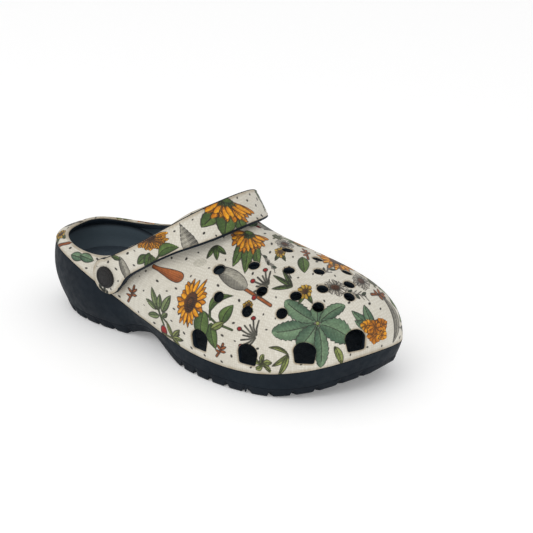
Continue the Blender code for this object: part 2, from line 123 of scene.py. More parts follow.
# Lower and upper edge of the strap, as (distance forward of the rivet, low, high)
STRAP_EDGES = [(6, -11.2, 11.6), (18, -8.6, 10.8), (46, -8.3, 8.9), (70, -9.6, 8.7), (93, -13.2, 9.8)]

CAP_RADIUS = 7.8
CAP_THICKNESS = 2.4
SHANK_RADIUS = 3.0
BORE_RADIUS = 3.3
WASHER_RADIUS = 6.6
WASHER_THICKNESS = 2.0
WASHER_OUT = 39.4
SOCKET_RADIUS = 6.5
SOCKET_THICKNESS = 2.2
SOCKET_OUT = 32.2
SOCKET_BORE_DEPTH = 1.6
STRAP_OUT = WASHER_OUT + WASHER_THICKNESS + GAP
CAP_OUT = STRAP_OUT + STRAP_THICKNESS + GAP

# ---------------------------------------------------------------- fineness of the visual meshes
FINE = 4001            # points on an outline that is then measured or divided evenly
SKIN_STEP = 0.75       # between vertices of the printed skin
FRONT = math.radians(75)    # either side of the toe, where the skin's rows thin out up to the opening
ROLL_ROWS = 7          # of the skin over the rim
SKIN_ROLL = 0.46       # share of the rim's roll that the skin covers
SKIN_CLEARANCE = 0.5   # from a hole's outline to where the lip starts
FOAM_STEP = 1.6
FOAM_CLEARANCE = 0.3
FOAM_DIRECTIONS = 481
OUTER_ROWS = 30
LINING_ROWS = 90
CUP_DIRECTIONS = 561
CUP_SIDE_ROWS = 22
INSOLE_DIRECTIONS = 421
INSOLE_RINGS = 96
TREAD_LENGTHWISE = 460
TREAD_ACROSS = 89
TURNED_STEPS = 72
HOLE_STEPS = 400       # tried up the profile to find a hole's centre
HOLE_REACH = 16.0      # from a hole's centre to the last vertex it can touch
UNTOUCHED = 99.0       # distance of a vertex that no hole is near
NUDGE = 1e-4           # for slopes


def place(points):
    """Shoe measurements in millimetres to the frame's metres."""
    return (np.asarray(points, float) - (MID_STATION, MID_SIDE, 0.0)) * MM


def unit(vectors):
    """Vectors of length one."""
    vectors = np.asarray(vectors, float)
    return vectors / np.maximum(np.linalg.norm(vectors, axis=-1, keepdims=True), 1e-12)


def smooth(low, high, value):
    """Smooth rise from 0 at low to 1 at high."""
    t = np.clip((value - low) / (high - low), 0, 1)
    return t * t * (3 - 2 * t)


def closed_spline(knots, values):
    """Periodic natural cubic through values at angles knots, as a function of the angle."""
    order = np.argsort(knots)
    knots = np.asarray(knots, float)[order]
    values = np.asarray(values, float)[order]
    count = len(knots)
    widths = np.diff(np.append(knots, knots[0] + 2 * math.pi))
    matrix = np.zeros((count, count))
    bends = np.zeros(count)
    for i in range(count):
        before = widths[i - 1]
        after = widths[i]
        following = (i + 1) % count
        matrix[i, i - 1] += before
        matrix[i, i] += 2 * (before + after)
        matrix[i, following] += after
        bends[i] = 6 * ((values[following] - values[i]) / after - (values[i] - values[i - 1]) / before)
    curve = np.linalg.solve(matrix, bends)

    def value_at(query):
        query = (np.asarray(query, float) - knots[0]) % (2 * math.pi) + knots[0]
        i = np.searchsorted(knots, query, side="right") - 1
        j = (i + 1) % count
        width = widths[i]
        past = query - knots[i]
        left = width - past
        cubic = (curve[i] * left ** 3 + curve[j] * past ** 3) / (6 * width)
        line = (values[i] / width - curve[i] * width / 6) * left
        return cubic + line + (values[j] / width - curve[j] * width / 6) * past

    return value_at


def directional(pairs):
    """Function of direction through (degrees, value) pairs."""
    return closed_spline(np.radians([a for a, _ in pairs]), [v for _, v in pairs])


def polar(outline):
    """Radius function, and height function if the outline has heights, about the pole."""
    points = np.asarray(outline, float)
    angles = np.arctan2(points[:, 1], points[:, 0] - POLE)
    functions = [closed_spline(angles, np.hypot(points[:, 0] - POLE, points[:, 1]))]
    if points.shape[1] == 3:
        functions.append(closed_spline(angles, points[:, 2]))
    return functions


def along(pairs, stations):
    """Smooth height at each station, with level ends to each stretch."""
    xs, ys = np.asarray(pairs, float).T
    slopes = np.gradient(ys, xs)
    flat = (np.diff(ys, prepend=ys[0]) * np.diff(ys, append=ys[-1])) <= 0
    slopes[flat] = 0
    stations = np.clip(stations, xs[0], xs[-1])
    i = np.clip(np.searchsorted(xs, stations, side="right") - 1, 0, len(xs) - 2)
    span = xs[i + 1] - xs[i]
    t = (stations - xs[i]) / span
    rise = (2 * t ** 3 - 3 * t ** 2 + 1) * ys[i] + (3 * t ** 2 - 2 * t ** 3) * ys[i + 1]
    return rise + (t ** 3 - 2 * t ** 2 + t) * span * slopes[i] + (t ** 3 - t ** 2) * span * slopes[i + 1]


sole_radius, sole_height = polar(SOLE_LINE)
edge_radius, edge_height = polar(OPENING_EDGE)
tread_radius = polar(TREAD_EDGE)[0]
lift, spread, reach, drop, swell = (directional(pairs) for pairs in (LIFT, SPREAD, REACH, DROP, SWELL))


def ring(angles, radii, heights):
    """Points around the pole."""
    angles, radii, heights = np.broadcast_arrays(angles, radii, heights)
    return np.stack([POLE + radii * np.cos(angles), radii * np.sin(angles), heights], -1)


def upper_point(a, v):
    """Outer face of the upper, from the sole line (v = 0) to the opening (v = 1)."""
    weights = ((1 - v) ** 3, 3 * v * (1 - v) ** 2, 3 * v * v * (1 - v), v ** 3)
    r0 = sole_radius(a)
    z0 = sole_height(a) + GAP
    r3 = edge_radius(a)
    z3 = edge_height(a)
    radii = weights[0] * r0 + weights[1] * (r0 + spread(a)) + weights[2] * (r3 + reach(a)) + weights[3] * r3
    heights = weights[0] * z0 + weights[1] * (z0 + lift(a)) + weights[2] * (z3 + drop(a)) + weights[3] * z3
    return ring(a, radii, heights)


def upper_axes(a, v):
    """Outward normal and the direction up the profile, both of length one."""
    across = upper_point(a + NUDGE, v) - upper_point(a - NUDGE, v)
    rise = upper_point(a, v + NUDGE) - upper_point(a, v - NUDGE)
    return unit(np.cross(across, rise)), unit(rise)


def profile_table():
    """Directions, and for each the step where the rim's roll starts and the profile's length."""
    angles = np.linspace(-math.pi, math.pi, 721)
    steps = np.linspace(0, 1, 161)
    points = upper_point(angles[:, None], steps[None, :])
    pieces = np.linalg.norm(np.diff(points, axis=1), axis=2)
    to_top = np.cumsum(pieces[:, ::-1], axis=1)[:, ::-1]
    brows = [np.interp(-ROLL, -np.append(row, 0.0), steps) for row in to_top]
    return angles, np.array(brows), to_top[:, 0]


TABLE_ANGLES, TABLE_BROWS, TABLE_LENGTHS = profile_table()


def brow(a):
    """Step at which the upper's face turns over into the rim."""
    return np.interp((a + math.pi) % (2 * math.pi) - math.pi, TABLE_ANGLES, TABLE_BROWS)


def upper_place(a, s, depth=0.0):
    """Point and outward direction of the upper: s is 0 at the sole line, 1 at the rim, 2 inside the rim."""
    a, s, depth = np.broadcast_arrays(a, s, depth)
    v = np.minimum(s, 1) * brow(a)
    point = upper_point(a, v)
    normal, rise = upper_axes(a, v)
    normal = normal.copy()
    normal[..., 2] *= np.clip(s / 0.12, 0, 1)
    normal = unit(normal)
    turn = np.clip(s - 1, 0, 1)[..., None] * math.pi
    out = normal * np.cos(turn) + rise * np.sin(turn)
    return point - ROLL * normal + (ROLL - depth[..., None]) * out, out


# ---------------------------------------------------------------- meshes
class Shape:
    """Vertices and faces of one piece, gathered strip by strip; a triangle repeats its last vertex."""

    def __init__(self):
        self.points = np.zeros((0, 3))
        self.facts = np.zeros((0, 3))
        self.faces = np.zeros((0, 4), int)

    def row(self, points, facts=None):
        """Adds vertices and returns their numbers; facts are direction, step and depth, or depth -1."""
        points = np.asarray(points, float).reshape(-1, 3)
        facts = np.tile((0.0, 0.0, -1.0), (len(points), 1)) if facts is None else facts
        first = len(self.points)
        self.points = np.concatenate([self.points, points])
        self.facts = np.concatenate([self.facts, facts])
        return np.arange(first, first + len(points))

    def strip(self, low, high, closed=False):
        """Quads between two rows of equal length; low runs left to right as seen from outside."""
        if closed:
            low = np.append(low, low[0])
            high = np.append(high, high[0])
        self.add(np.stack([low[:-1], low[1:], high[1:], high[:-1]], 1))

    def add(self, faces):
        """Adds faces given as rows of four vertex numbers."""
        self.faces = np.concatenate([self.faces, np.asarray(faces, int)])

    def rows(self, table, closed=False):
        """Strips through a list of rows of points."""
        numbers = [self.row(points) for points in table]
        for low, high in zip(numbers, numbers[1:]):
            self.strip(low, high, closed)
        return numbers

    def zipper(self, low, low_at, high, high_at):
        """Triangles between two rows of different lengths, given with each vertex's place along them."""
        i = j = 0
        faces = []
        while i < len(low) - 1 or j < len(high) - 1:
            if j == len(high) - 1 or (i < len(low) - 1 and low_at[i + 1] <= high_at[j + 1]):
                faces.append((low[i], low[i + 1], high[j], high[j]))
                i += 1
            else:
                faces.append((low[i], high[j + 1], high[j], high[j]))
                j += 1
        self.add(faces)

    def fan(self, row, middle, flip=False):
        """Triangles from a closed row to one point."""
        centre = np.full(len(row), self.row([middle])[0])
        following = np.roll(row, -1)
        pair = (following, row) if flip else (row, following)
        self.add(np.stack([*pair, centre, centre], 1))

    def tidy(self):
        """Removes vertices that no face uses."""
        used = np.zeros(len(self.points), bool)
        used[self.faces] = True
        number = np.cumsum(used) - 1
        self.points = self.points[used]
        self.facts = self.facts[used]
        self.faces = number[self.faces]

    def mesh(self, name):
        """Blender mesh in the frame's metres."""
        faces = [face[:3] if face[2] == face[3] else face for face in self.faces.tolist()]
        mesh = bpy.data.meshes.new(name)
        mesh.from_pydata(place(self.points).tolist(), [], faces)
        mesh.shade_smooth()
        return mesh


def add_piece(name, mesh, look, body, nodes):
    """Object of the mesh that rides on a body and stands for its CAD nodes."""
    piece = bpy.data.objects.new(name, mesh)
    bpy.context.scene.collection.objects.link(piece)
    mesh.materials.append(look)
    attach(piece, body)
    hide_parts(*nodes)
    return piece


# ---------------------------------------------------------------- holes in the upper
def circle_outline():
    """Small round hole."""
    turns = np.linspace(0, 2 * math.pi, 48, endpoint=False)
    return np.stack([np.cos(turns), np.sin(turns)], 1) * ROUND_HOLE_RADIUS


def vent_outline():
    """Vent with a straight foot and sides, a round head and rounded corners."""
    half = VENT_WIDTH / 2
    head = VENT_HEIGHT / 2 - half * VENT_ARCH
    foot = half * VENT_FOOT - VENT_CORNER
    low = VENT_CORNER - VENT_HEIGHT / 2
    corner = np.linspace(0, math.pi / 2, 9)
    arch = np.linspace(0, math.pi, 25)
    points = [(foot + VENT_CORNER * math.sin(t), low - VENT_CORNER * math.cos(t)) for t in corner]
    points += [(half * math.cos(t), head + VENT_ARCH * half * math.sin(t)) for t in arch]
    points += [(-foot - VENT_CORNER * math.cos(t), low - VENT_CORNER * math.sin(t)) for t in corner]
    points = np.array(points + points[:1])
    run = np.append(0, np.cumsum(np.linalg.norm(np.diff(points, axis=0), axis=1)))
    even = np.linspace(0, run[-1], 72, endpoint=False)
    return np.stack([np.interp(even, run, points[:, 0]), np.interp(even, run, points[:, 1])], 1)


class Hole:
    """One opening through the upper: its outline in the plane that touches the upper at its centre."""

    def __init__(self, a, v, outline):
        self.a = a
        self.v = v
        self.centre = upper_point(a, v)
        self.normal = upper_axes(a, v)[0]
        self.side = unit(np.cross((0, 0, 1), self.normal))
        self.rise = np.cross(self.normal, self.side)
        self.outline = outline
        tangent = np.roll(outline, -1, 0) - np.roll(outline, 1, 0)
        self.away = unit(np.stack([tangent[:, 1], -tangent[:, 0]], 1))

    def flat(self, points):
        """Coordinates in the hole's plane."""
        gap = points - self.centre
        return np.stack([gap @ self.side, gap @ self.rise], -1)

    def nearest(self, flat):
        """Distance outside the outline (negative inside) and the outline's nearest point."""
        start = self.outline
        step = np.roll(start, -1, 0) - start
        gap = flat[:, None] - start[None]
        t = np.clip((gap * step).sum(2) / (step * step).sum(1), 0, 1)
        foot = start + t[..., None] * step
        distance = np.linalg.norm(flat[:, None] - foot, axis=2)
        best = distance.argmin(1)
        rows = np.arange(len(flat))
        inside = (step[:, 0] * gap[..., 1] - step[:, 1] * gap[..., 0] > 0).all(1)
        return np.where(inside, -distance[rows, best], distance[rows, best]), foot[rows, best]

    def settle(self, a, v, target, depth):
        """Directions and steps at which the face at a depth passes over the target points."""
        for _ in range(6):
            here = self.flat(face_at(a, v, depth))
            by_a = (self.flat(face_at(a + NUDGE, v, depth)) - here) / NUDGE
            by_v = (self.flat(face_at(a, v + NUDGE, depth)) - here) / NUDGE
            gap = target - here
            scale = by_a[:, 0] * by_v[:, 1] - by_a[:, 1] * by_v[:, 0]
            a = a + (gap[:, 0] * by_v[:, 1] - gap[:, 1] * by_v[:, 0]) / scale
            v = v + (by_a[:, 0] * gap[:, 1] - by_a[:, 1] * gap[:, 0]) / scale
        return a, v

    def ring(self, clearance, depth):
        """Outline grown by the clearance and laid on the face at a depth."""
        count = len(self.outline)
        target = self.outline + self.away * clearance
        a, v = self.settle(np.full(count, self.a), np.full(count, self.v), target, depth)
        return face_at(a, v, depth)


def face_at(a, v, depth):
    """Point of the upper below its outer face, by its own step v."""
    return upper_point(a, v) - np.asarray(depth)[..., None] * upper_axes(a, v)[0]


def all_holes():
    """Every round hole and vent of the upper."""
    holes = []
    steps = np.linspace(0.05, 1, HOLE_STEPS)
    for station, side in ROUND_HOLES:
        a = math.atan2(side, station - POLE)
        radii = np.linalg.norm(upper_point(a, steps)[:, :2] - (POLE, 0), axis=1)
        step = steps[np.argmin(np.abs(radii - math.hypot(station - POLE, side)))]
        holes.append(Hole(a, step, circle_outline()))
    steps = np.linspace(0, 0.5, HOLE_STEPS)
    for degrees in VENT_DIRECTIONS:
        a = math.radians(degrees)
        rises = upper_point(a, steps)[:, 2] - sole_height(a)
        holes.append(Hole(a, steps[np.argmin(np.abs(rises - VENT_RISE))], vent_outline()))
    return holes


def cut_holes(shape, holes, clearance, spacing):
    """Drops a shape's faces over each hole and draws the cut edge onto the hole's outline."""
    points = shape.points
    facts = shape.facts
    distance = np.full(len(points), UNTOUCHED)
    owner = np.full(len(points), -1)
    for number, hole in enumerate(holes):
        near = np.where((np.linalg.norm(points - hole.centre, axis=1) < HOLE_REACH) & (facts[:, 2] >= 0))[0]
        if len(near):
            outside = hole.nearest(hole.flat(points[near]))[0] - clearance
            closer = outside < distance[near]
            distance[near[closer]] = outside[closer]
            owner[near[closer]] = number
    lost = (distance[shape.faces] < -0.3 * spacing).any(1)
    edge = np.zeros(len(points), bool)
    edge[shape.faces[lost]] = True
    used = np.zeros(len(points), bool)
    used[shape.faces[~lost]] = True
    for number, hole in enumerate(holes):
        mine = np.where(edge & used & (owner == number))[0]
        if len(mine):
            flat = hole.flat(points[mine])
            outside, foot = hole.nearest(flat)
            target = foot + unit((flat - foot) * np.sign(outside)[:, None]) * clearance
            a, v, depth = facts[mine].T
            a, v = hole.settle(a, v, target, depth)
            points[mine] = face_at(a, v, depth)
    shape.faces = shape.faces[~lost]
    shape.tidy()


# Rings down a hole's wall, as (clearance from the outline, depth below the upper's face)
SKIN_LIP = ((0.55, 0.01), (0.24, 0.05), (0.07, 0.2), (0.0, 0.45), (0.0, SKIN_THICKNESS))
FOAM_WALL = ((0.35, 0.72), (0.06, 0.74), (0.06, 4.1), (0.1, 4.4), (0.35, 4.61))


# ---------------------------------------------------------------- printed skin of the upper
def even_angles(first, last, count):
    """Directions from first to last, evenly spaced along the sole line."""
    fine = np.linspace(first, last, 2001)
    line = ring(fine, sole_radius(fine), 0.0)
    run = np.append(0, np.cumsum(np.linalg.norm(np.diff(line, axis=0), axis=1)))
    return np.interp(np.linspace(0, run[-1], count), run, fine), run[-1]


def skin_row(shape, angles, s):
    """Row of the skin's outer face at step s."""
    a, s = np.broadcast_arrays(angles, s)
    points, _ = upper_place(a, s)
    return shape.row(points, np.stack([a, np.minimum(s, 1) * brow(a), np.where(s <= 1, 0.0, -1.0)], 1))


def upper_skin_shape(holes):
    """Outer face of the printed skin, rolled over the rim, with a rounded lip at each hole."""
    shape = Shape()
    length = even_angles(-FRONT, FRONT, 2)[1]
    count = int(length / SKIN_STEP / 4) * 4
    angles = even_angles(-FRONT, FRONT, count + 1)[0]
    rows = int(TABLE_LENGTHS.max() / SKIN_STEP)
    places = np.append(np.linspace(0, 1, rows + 1), 1 + SKIN_ROLL * np.arange(1, ROLL_ROWS + 1) / ROLL_ROWS)
    front = []
    for s in places:
        thin = 1 if s < 0.6 else 2 if s < 0.84 else 4
        at = angles[::thin]
        front.append((skin_row(shape, at, s), at))
    for (low, low_at), (high, high_at) in zip(front, front[1:]):
        if len(low) == len(high):
            shape.strip(low, high)
        else:
            shape.zipper(low, low_at, high, high_at)
    rear_length = even_angles(FRONT, 2 * math.pi - FRONT, 2)[1]
    rear_angles = even_angles(FRONT, 2 * math.pi - FRONT, int(rear_length / SKIN_STEP))[0]
    rear_places = np.append(np.linspace(0, 1, rows // 4 + 1), places[rows + 1:])
    rear = [skin_row(shape, rear_angles[1:-1], s) for s in rear_places]
    for low, high in zip(rear, rear[1:]):
        shape.strip(low, high)
    first = np.array([row[0] for row in rear])
    last = np.array([row[-1] for row in rear])
    start = np.array([row[0] for row, _ in front])
    end = np.array([row[-1] for row, _ in front])
    shape.zipper(first, rear_places, end, places)
    shape.zipper(start, places, last, rear_places)
    crest = np.append(front[-1][0], rear[-1])
    crest_angles = np.append(front[-1][1], rear_angles[1:-1])
    for roll, depth in ((0.02, 0.15), (0.03, 0.4), (0.03, SKIN_THICKNESS)):
        turned = shape.row(upper_place(crest_angles, 1 + SKIN_ROLL + roll, depth)[0])
        shape.strip(crest, turned, True)
        crest = turned
    foot = np.append(front[0][0], rear[0])
    foot_angles = np.append(angles, rear_angles[1:-1])
    below = shape.row(upper_place(foot_angles, 0.0, 0.35)[0] - (0, 0, 0.2))
    inner = shape.row(upper_place(foot_angles, 0.0, 1.2)[0] - (0, 0, 0.2))
    shape.strip(below, foot, True)
    shape.strip(inner, below, True)
    cut_holes(shape, holes, SKIN_CLEARANCE, SKIN_STEP)
    for hole in holes:
        shape.rows([hole.ring(clearance, depth) for clearance, depth in SKIN_LIP], True)
    return shape


def upper_foam_shape(holes):
    """Foam of the upper under the skin: hidden outer face, inner face, hole walls and foot."""
    shape = Shape()
    angles = even_angles(-math.pi, math.pi, FOAM_DIRECTIONS)[0][:-1]
    outer = [(s, SKIN_THICKNESS) for s in np.linspace(0, 1, OUTER_ROWS)]
    outer += [(1 + t, SKIN_THICKNESS) for t in np.linspace(0.1, 1, 7)]
    inner = [(s, WALL_THICKNESS) for s in np.linspace(0.985, 0, LINING_ROWS)]
    numbers = []
    for s, depth in outer + inner:
        points, _ = upper_place(angles, s, depth)
        steps = min(s, 1) * brow(angles)
        depths = np.full(len(angles), depth if s <= 1 else -1.0)
        numbers.append(shape.row(points, np.stack([angles, steps, depths], 1)))
    for low, high in zip(numbers, numbers[1:] + numbers[:1]):
        shape.strip(low, high, True)
    cut_holes(shape, holes, FOAM_CLEARANCE, FOAM_STEP)
    for hole in holes:
        shape.rows([hole.ring(clearance, depth) for clearance, depth in FOAM_WALL], True)
    return shape


# ---------------------------------------------------------------- sole
def side_ends(angles):
    """Lower and upper edge of the sole's side."""
    low = ring(angles, tread_radius(angles), 0.0)
    low[:, 2] = along(GROUND_HEIGHT, low[:, 0])
    return low, ring(angles, sole_radius(angles), sole_height(angles))


def side_points(angles, share, inwards=0.0):
    """Points on the sole's swollen side, or inwards of it."""
    low, high = side_ends(angles)
    share = np.broadcast_to(share, angles.shape)
    out = swell(angles) * np.sin(math.pi * share) - inwards
    return low + (high - low) * share[:, None] + ring(angles, out, 0.0) - (POLE, 0, 0)


def side_share(angles, rise):
    """Share of the side's height that is a given rise above the tread's edge."""
    low, high = side_ends(angles)
    return rise / (high[:, 2] - low[:, 2])


def shrunk(row, factor, height):
    """Ring drawn towards the pole, laid at the height that belongs to its stations."""
    points = np.array(row)
    points[:, :2] = (POLE, 0) + (points[:, :2] - (POLE, 0)) * factor
    points[:, 2] = height(points[:, 0])
    return points


INNER_ROWS = 5       # of the cup's rings that the foot opening shows
CUP_UNDERSIDE = TREAD_THICKNESS + TREAD_JOINT


def cup_shape():
    """Foam cup of the sole: swollen side, rounded lip, inner wall and floor."""
    shape = Shape()
    angles = even_angles(-math.pi, math.pi, CUP_DIRECTIONS)[0][:-1]
    start = side_share(angles, CUP_UNDERSIDE)
    foot = side_points(angles, start)

    def underside(stations):
        return along(GROUND_HEIGHT, stations) + CUP_UNDERSIDE

    def floor(stations):
        return along(SEAT_HEIGHT, stations)

    rows = [shrunk(foot, factor, underside) for factor in (0.03, 0.5, 0.97)]
    rows.append(side_points(angles, start, 0.45))
    shares = np.append(0.012, np.linspace(0.03, 0.965, CUP_SIDE_ROWS))
    rows += [side_points(angles, start + (1 - start) * t) for t in shares]
    top = side_points(angles, np.ones(len(angles)))
    for turn in np.radians([30, 60, 90]):
        rows.append(shrink_lip(top, angles, 0.5 * (1 - math.cos(turn)), 0.5 * (math.sin(turn) - 1)))
    for inwards, fall in ((3.0, 0.0), (4.3, 0.05), (4.9, 0.6), (5.5, 3.0), (6.3, 8.0)):
        rows.append(shrink_lip(top, angles, inwards, -fall))
    edge = shrink_lip(top, angles, SEAT_INSET, 0.0)
    rows += [shrunk(edge, factor, floor) for factor in (1, 0.6, 0.03)]
    numbers = shape.rows(rows, True)
    shape.fan(numbers[0], shape.points[numbers[0]].mean(0), True)
    shape.fan(numbers[-1], shape.points[numbers[-1]].mean(0))
    shape.facts[:, 2] = 0.0
    # Painted light: the rings that the foot opening shows are marked for the paler painted lining
    shape.facts[np.concatenate(numbers[-INNER_ROWS:]), 2] = 1.0
    return shape


def shrink_lip(top, angles, inwards, rise):
    """The sole line moved inwards along the upper's level normals, and up or down."""
    normal = upper_axes(angles, np.zeros(len(angles)))[0].copy()
    normal[:, 2] = 0
    return top - unit(normal) * inwards + (0, 0, rise)


NOTCH_PITCH = 15.0         # along the tread's edge round the toe
GROOVE_PITCH = 14.0        # along the shoe
GROOVE_FIRST = 158.0
HEEL_GROOVE_FIRST = 24.0
GROOVE_WIDTH = 3.6
GROOVE_DEPTH = 2.6
TOE_LUGS = 214.0           # station where the lugs start to follow the edge
CHANNEL_PITCH = 34.0       # between the lengthwise channels
RIM_LINE = 8.5             # from the edge to the line inside the lugs
LUG_SWELL = 0.55


def tread_arc():
    """Directions and the tread outline's length up to each, from the heel along the outer side."""
    angles = np.linspace(-math.pi, math.pi, 2881)
    line = ring(angles, tread_radius(angles), 0.0)
    return angles, np.append(0, np.cumsum(np.linalg.norm(np.diff(line, axis=0), axis=1)))


ARC_ANGLES, ARC_RUN = tread_arc()


def notch(run, pitch, width):
    """1 in the middle of each groove, 0 on the lugs; the sides slope."""
    offset = np.abs((run / pitch + 0.5) % 1 - 0.5) * pitch
    return 1 - smooth(width * 0.28, width * 0.62, offset)


def tread_depth(points):
    """Depth of the grooves at points of the tread's underside."""
    station, side = points[..., 0], points[..., 1]
    a = np.arctan2(side, station - POLE)
    to_edge = tread_radius(a) - np.hypot(station - POLE, side)
    run = np.interp(a, ARC_ANGLES, ARC_RUN)
    start = np.interp(math.atan2(-52.0, GROOVE_FIRST - POLE), ARC_ANGLES, ARC_RUN)
    wave = 2.2 * np.sin(side * 0.16) * smooth(3, 12, to_edge)
    ball = smooth(150, 155, station)
    heel = 1 - smooth(97, 101, station)
    cross = notch(station - GROOVE_FIRST + wave, GROOVE_PITCH, GROOVE_WIDTH) * ball
    cross = cross * np.where(station > TOE_LUGS, smooth(6, 9, to_edge), 1)
    heel_cross = notch(station - HEEL_GROOVE_FIRST + wave, GROOVE_PITCH, GROOVE_WIDTH) * heel
    heel_cross = heel_cross * smooth(16, 22, station)
    edge = notch(run - start, NOTCH_PITCH, GROOVE_WIDTH) * (1 - smooth(5, 8, to_edge))
    edge = edge * np.where(station > TOE_LUGS, 1, 0)
    channel = notch(side + 0.1 * (station - 190), CHANNEL_PITCH, 3.0) * (ball + heel)
    channel = channel * smooth(10, 13, to_edge)
    rim_line = (1 - smooth(0.5, 1.3, np.abs(to_edge - RIM_LINE))) * (ball + heel) * 0.7
    waist = (1 - ball) * (1 - heel) * (0.28 + 0.3 * notch(side, 7.0, 2.6)) * smooth(3, 6, to_edge)
    return GROOVE_DEPTH * np.maximum.reduce([cross, heel_cross, edge, channel, rim_line, waist])


def tread_shape():
    """Rubber tread: grooved underside, notched side and a flat top."""
    shape = Shape()
    low_side = np.linspace(-math.pi, 0, FINE)
    line = ring(low_side, tread_radius(low_side), 0.0)
    run = np.append(0, np.cumsum(np.linalg.norm(np.diff(line, axis=0), axis=1)))
    tip = line[:, 0].argmax()
    picks = np.interp(np.linspace(0, run[tip], TREAD_LENGTHWISE), run, low_side)
    lateral = ring(picks, tread_radius(picks), 0.0)
    high_side = np.linspace(math.pi, low_side[tip], FINE)
    back = ring(high_side, tread_radius(high_side), 0.0)
    stations = np.maximum.accumulate(lateral[:, 0])
    first, last = back[:, 0].argmin(), back[:, 0].argmax()
    medial_side = np.interp(stations, back[first:last, 0], back[first:last, 1])
    across = np.sin(np.linspace(-1, 1, TREAD_ACROSS) * math.pi / 2 * 0.92) / math.sin(math.pi / 2 * 0.92)
    low_edge = lateral[:, 1]
    half = (medial_side - low_edge) / 2
    side = (medial_side + low_edge)[:, None] / 2 + half[:, None] * across
    bottom = np.stack([np.broadcast_to(stations[:, None], side.shape), side, np.zeros(side.shape)], 2)
    bottom[..., 2] = along(GROUND_HEIGHT, bottom[..., 0]) + tread_depth(bottom)
    numbers = [shape.row(line) for line in bottom]
    for low, high in zip(numbers, numbers[1:]):
        shape.strip(low, high)
    edge = np.concatenate([[row[0] for row in numbers], [row[-1] for row in numbers[::-1]]])
    foot = shape.points[edge]
    angles = np.unwrap(np.arctan2(foot[:, 1], foot[:, 0] - POLE))
    share = side_share(angles, TREAD_THICKNESS)
    below = edge
    rest = along(GROUND_HEIGHT, foot[:, 0])
    lug = 1 - (foot[:, 2] - rest) / GROOVE_DEPTH
    for t in (0.05, 0.12, 0.25, 0.4, 0.6, 0.8, 0.93):
        wall = side_points(angles, share * t)
        out = LUG_SWELL * lug * smooth(0, 0.12, t) * (1 - smooth(0.3, 0.9, t))
        wall += ring(angles, out, 0.0) - (POLE, 0, 0)
        wall[:, 2] = foot[:, 2] + (rest + TREAD_THICKNESS - foot[:, 2]) * t
        above = shape.row(wall)
        shape.strip(below, above, True)
        below = above

    def upper_face(stations):
        return along(GROUND_HEIGHT, stations) + TREAD_THICKNESS

    top = side_points(angles, share, 0.3)
    for row in (top, shrunk(top, 0.6, upper_face), shrunk(top, 0.05, upper_face)):
        above = shape.row(row)
        shape.strip(below, above, True)
        below = above
    shape.fan(below, shape.points[below].mean(0))
    return shape


NUB_PITCH = 7.0
NUB_RADIUS = 1.9
NUB_HEIGHT = 0.45


def insole_shape():
    """Footbed with a raised edge, a dished heel and rows of low massage nubs."""
    shape = Shape()
    angles = even_angles(-math.pi, math.pi, INSOLE_DIRECTIONS)[0][:-1]
    top = side_points(angles, np.ones(len(angles)))
    edge = shrink_lip(top, angles, SEAT_INSET + 3 * GAP, 0.0)

    def base(stations):
        return along(SEAT_HEIGHT, stations) + GAP

    rows = [shrunk(edge, factor, base) for factor in (0.03, 0.5, 0.985)]
    for inset, rise in ((1.0, 0.5), (1.0, 2.6), (0.998, 3.4), (0.99, 3.95), (0.98, FOOTBED_THICKNESS)):
        rows.append(shrunk(edge, inset, lambda stations, rise=rise: base(stations) + rise))
    for factor in np.linspace(0.97, 0.02, INSOLE_RINGS):
        row = shrunk(edge, factor, lambda stations: base(stations) + FOOTBED_THICKNESS)
        row[:, 2] -= FOOTBED_DISH * smooth(0, 1, 1 - factor)
        row[:, 2] += NUB_HEIGHT * nubs(row) * smooth(0.03, 0.12, 1 - factor) * smooth(0, 0.1, factor)
        rows.append(row)
    numbers = shape.rows(rows, True)
    shape.fan(numbers[0], shape.points[numbers[0]].mean(0), True)
    shape.fan(numbers[-1], shape.points[numbers[-1]].mean(0))
    return shape


def nubs(points):
    """Rounded nubs on a triangular grid, 1 at their tops."""
    best = np.zeros(len(points))
    for shift in (0.0, 0.5):
        x = ((points[:, 0] / (NUB_PITCH * math.sqrt(3)) + shift + 0.5) % 1 - 0.5) * NUB_PITCH * math.sqrt(3)
        y = ((points[:, 1] / NUB_PITCH + shift + 0.5) % 1 - 0.5) * NUB_PITCH
        best = np.maximum(best, 1 - smooth(0.2 * NUB_RADIUS, NUB_RADIUS, np.hypot(x, y)))
    return best


# ---------------------------------------------------------------- strap
def strap_point(forward, side, rise):
    """Strap measurements to station, side and height."""
    station = HINGE_STATION + forward * math.cos(STRAP_LEAN) - rise * math.sin(STRAP_LEAN)
    height = HINGE_HEIGHT + forward * math.sin(STRAP_LEAN) + rise * math.cos(STRAP_LEAN)
    return np.stack(np.broadcast_arrays(station, HINGE_SIDE + side, height), -1)


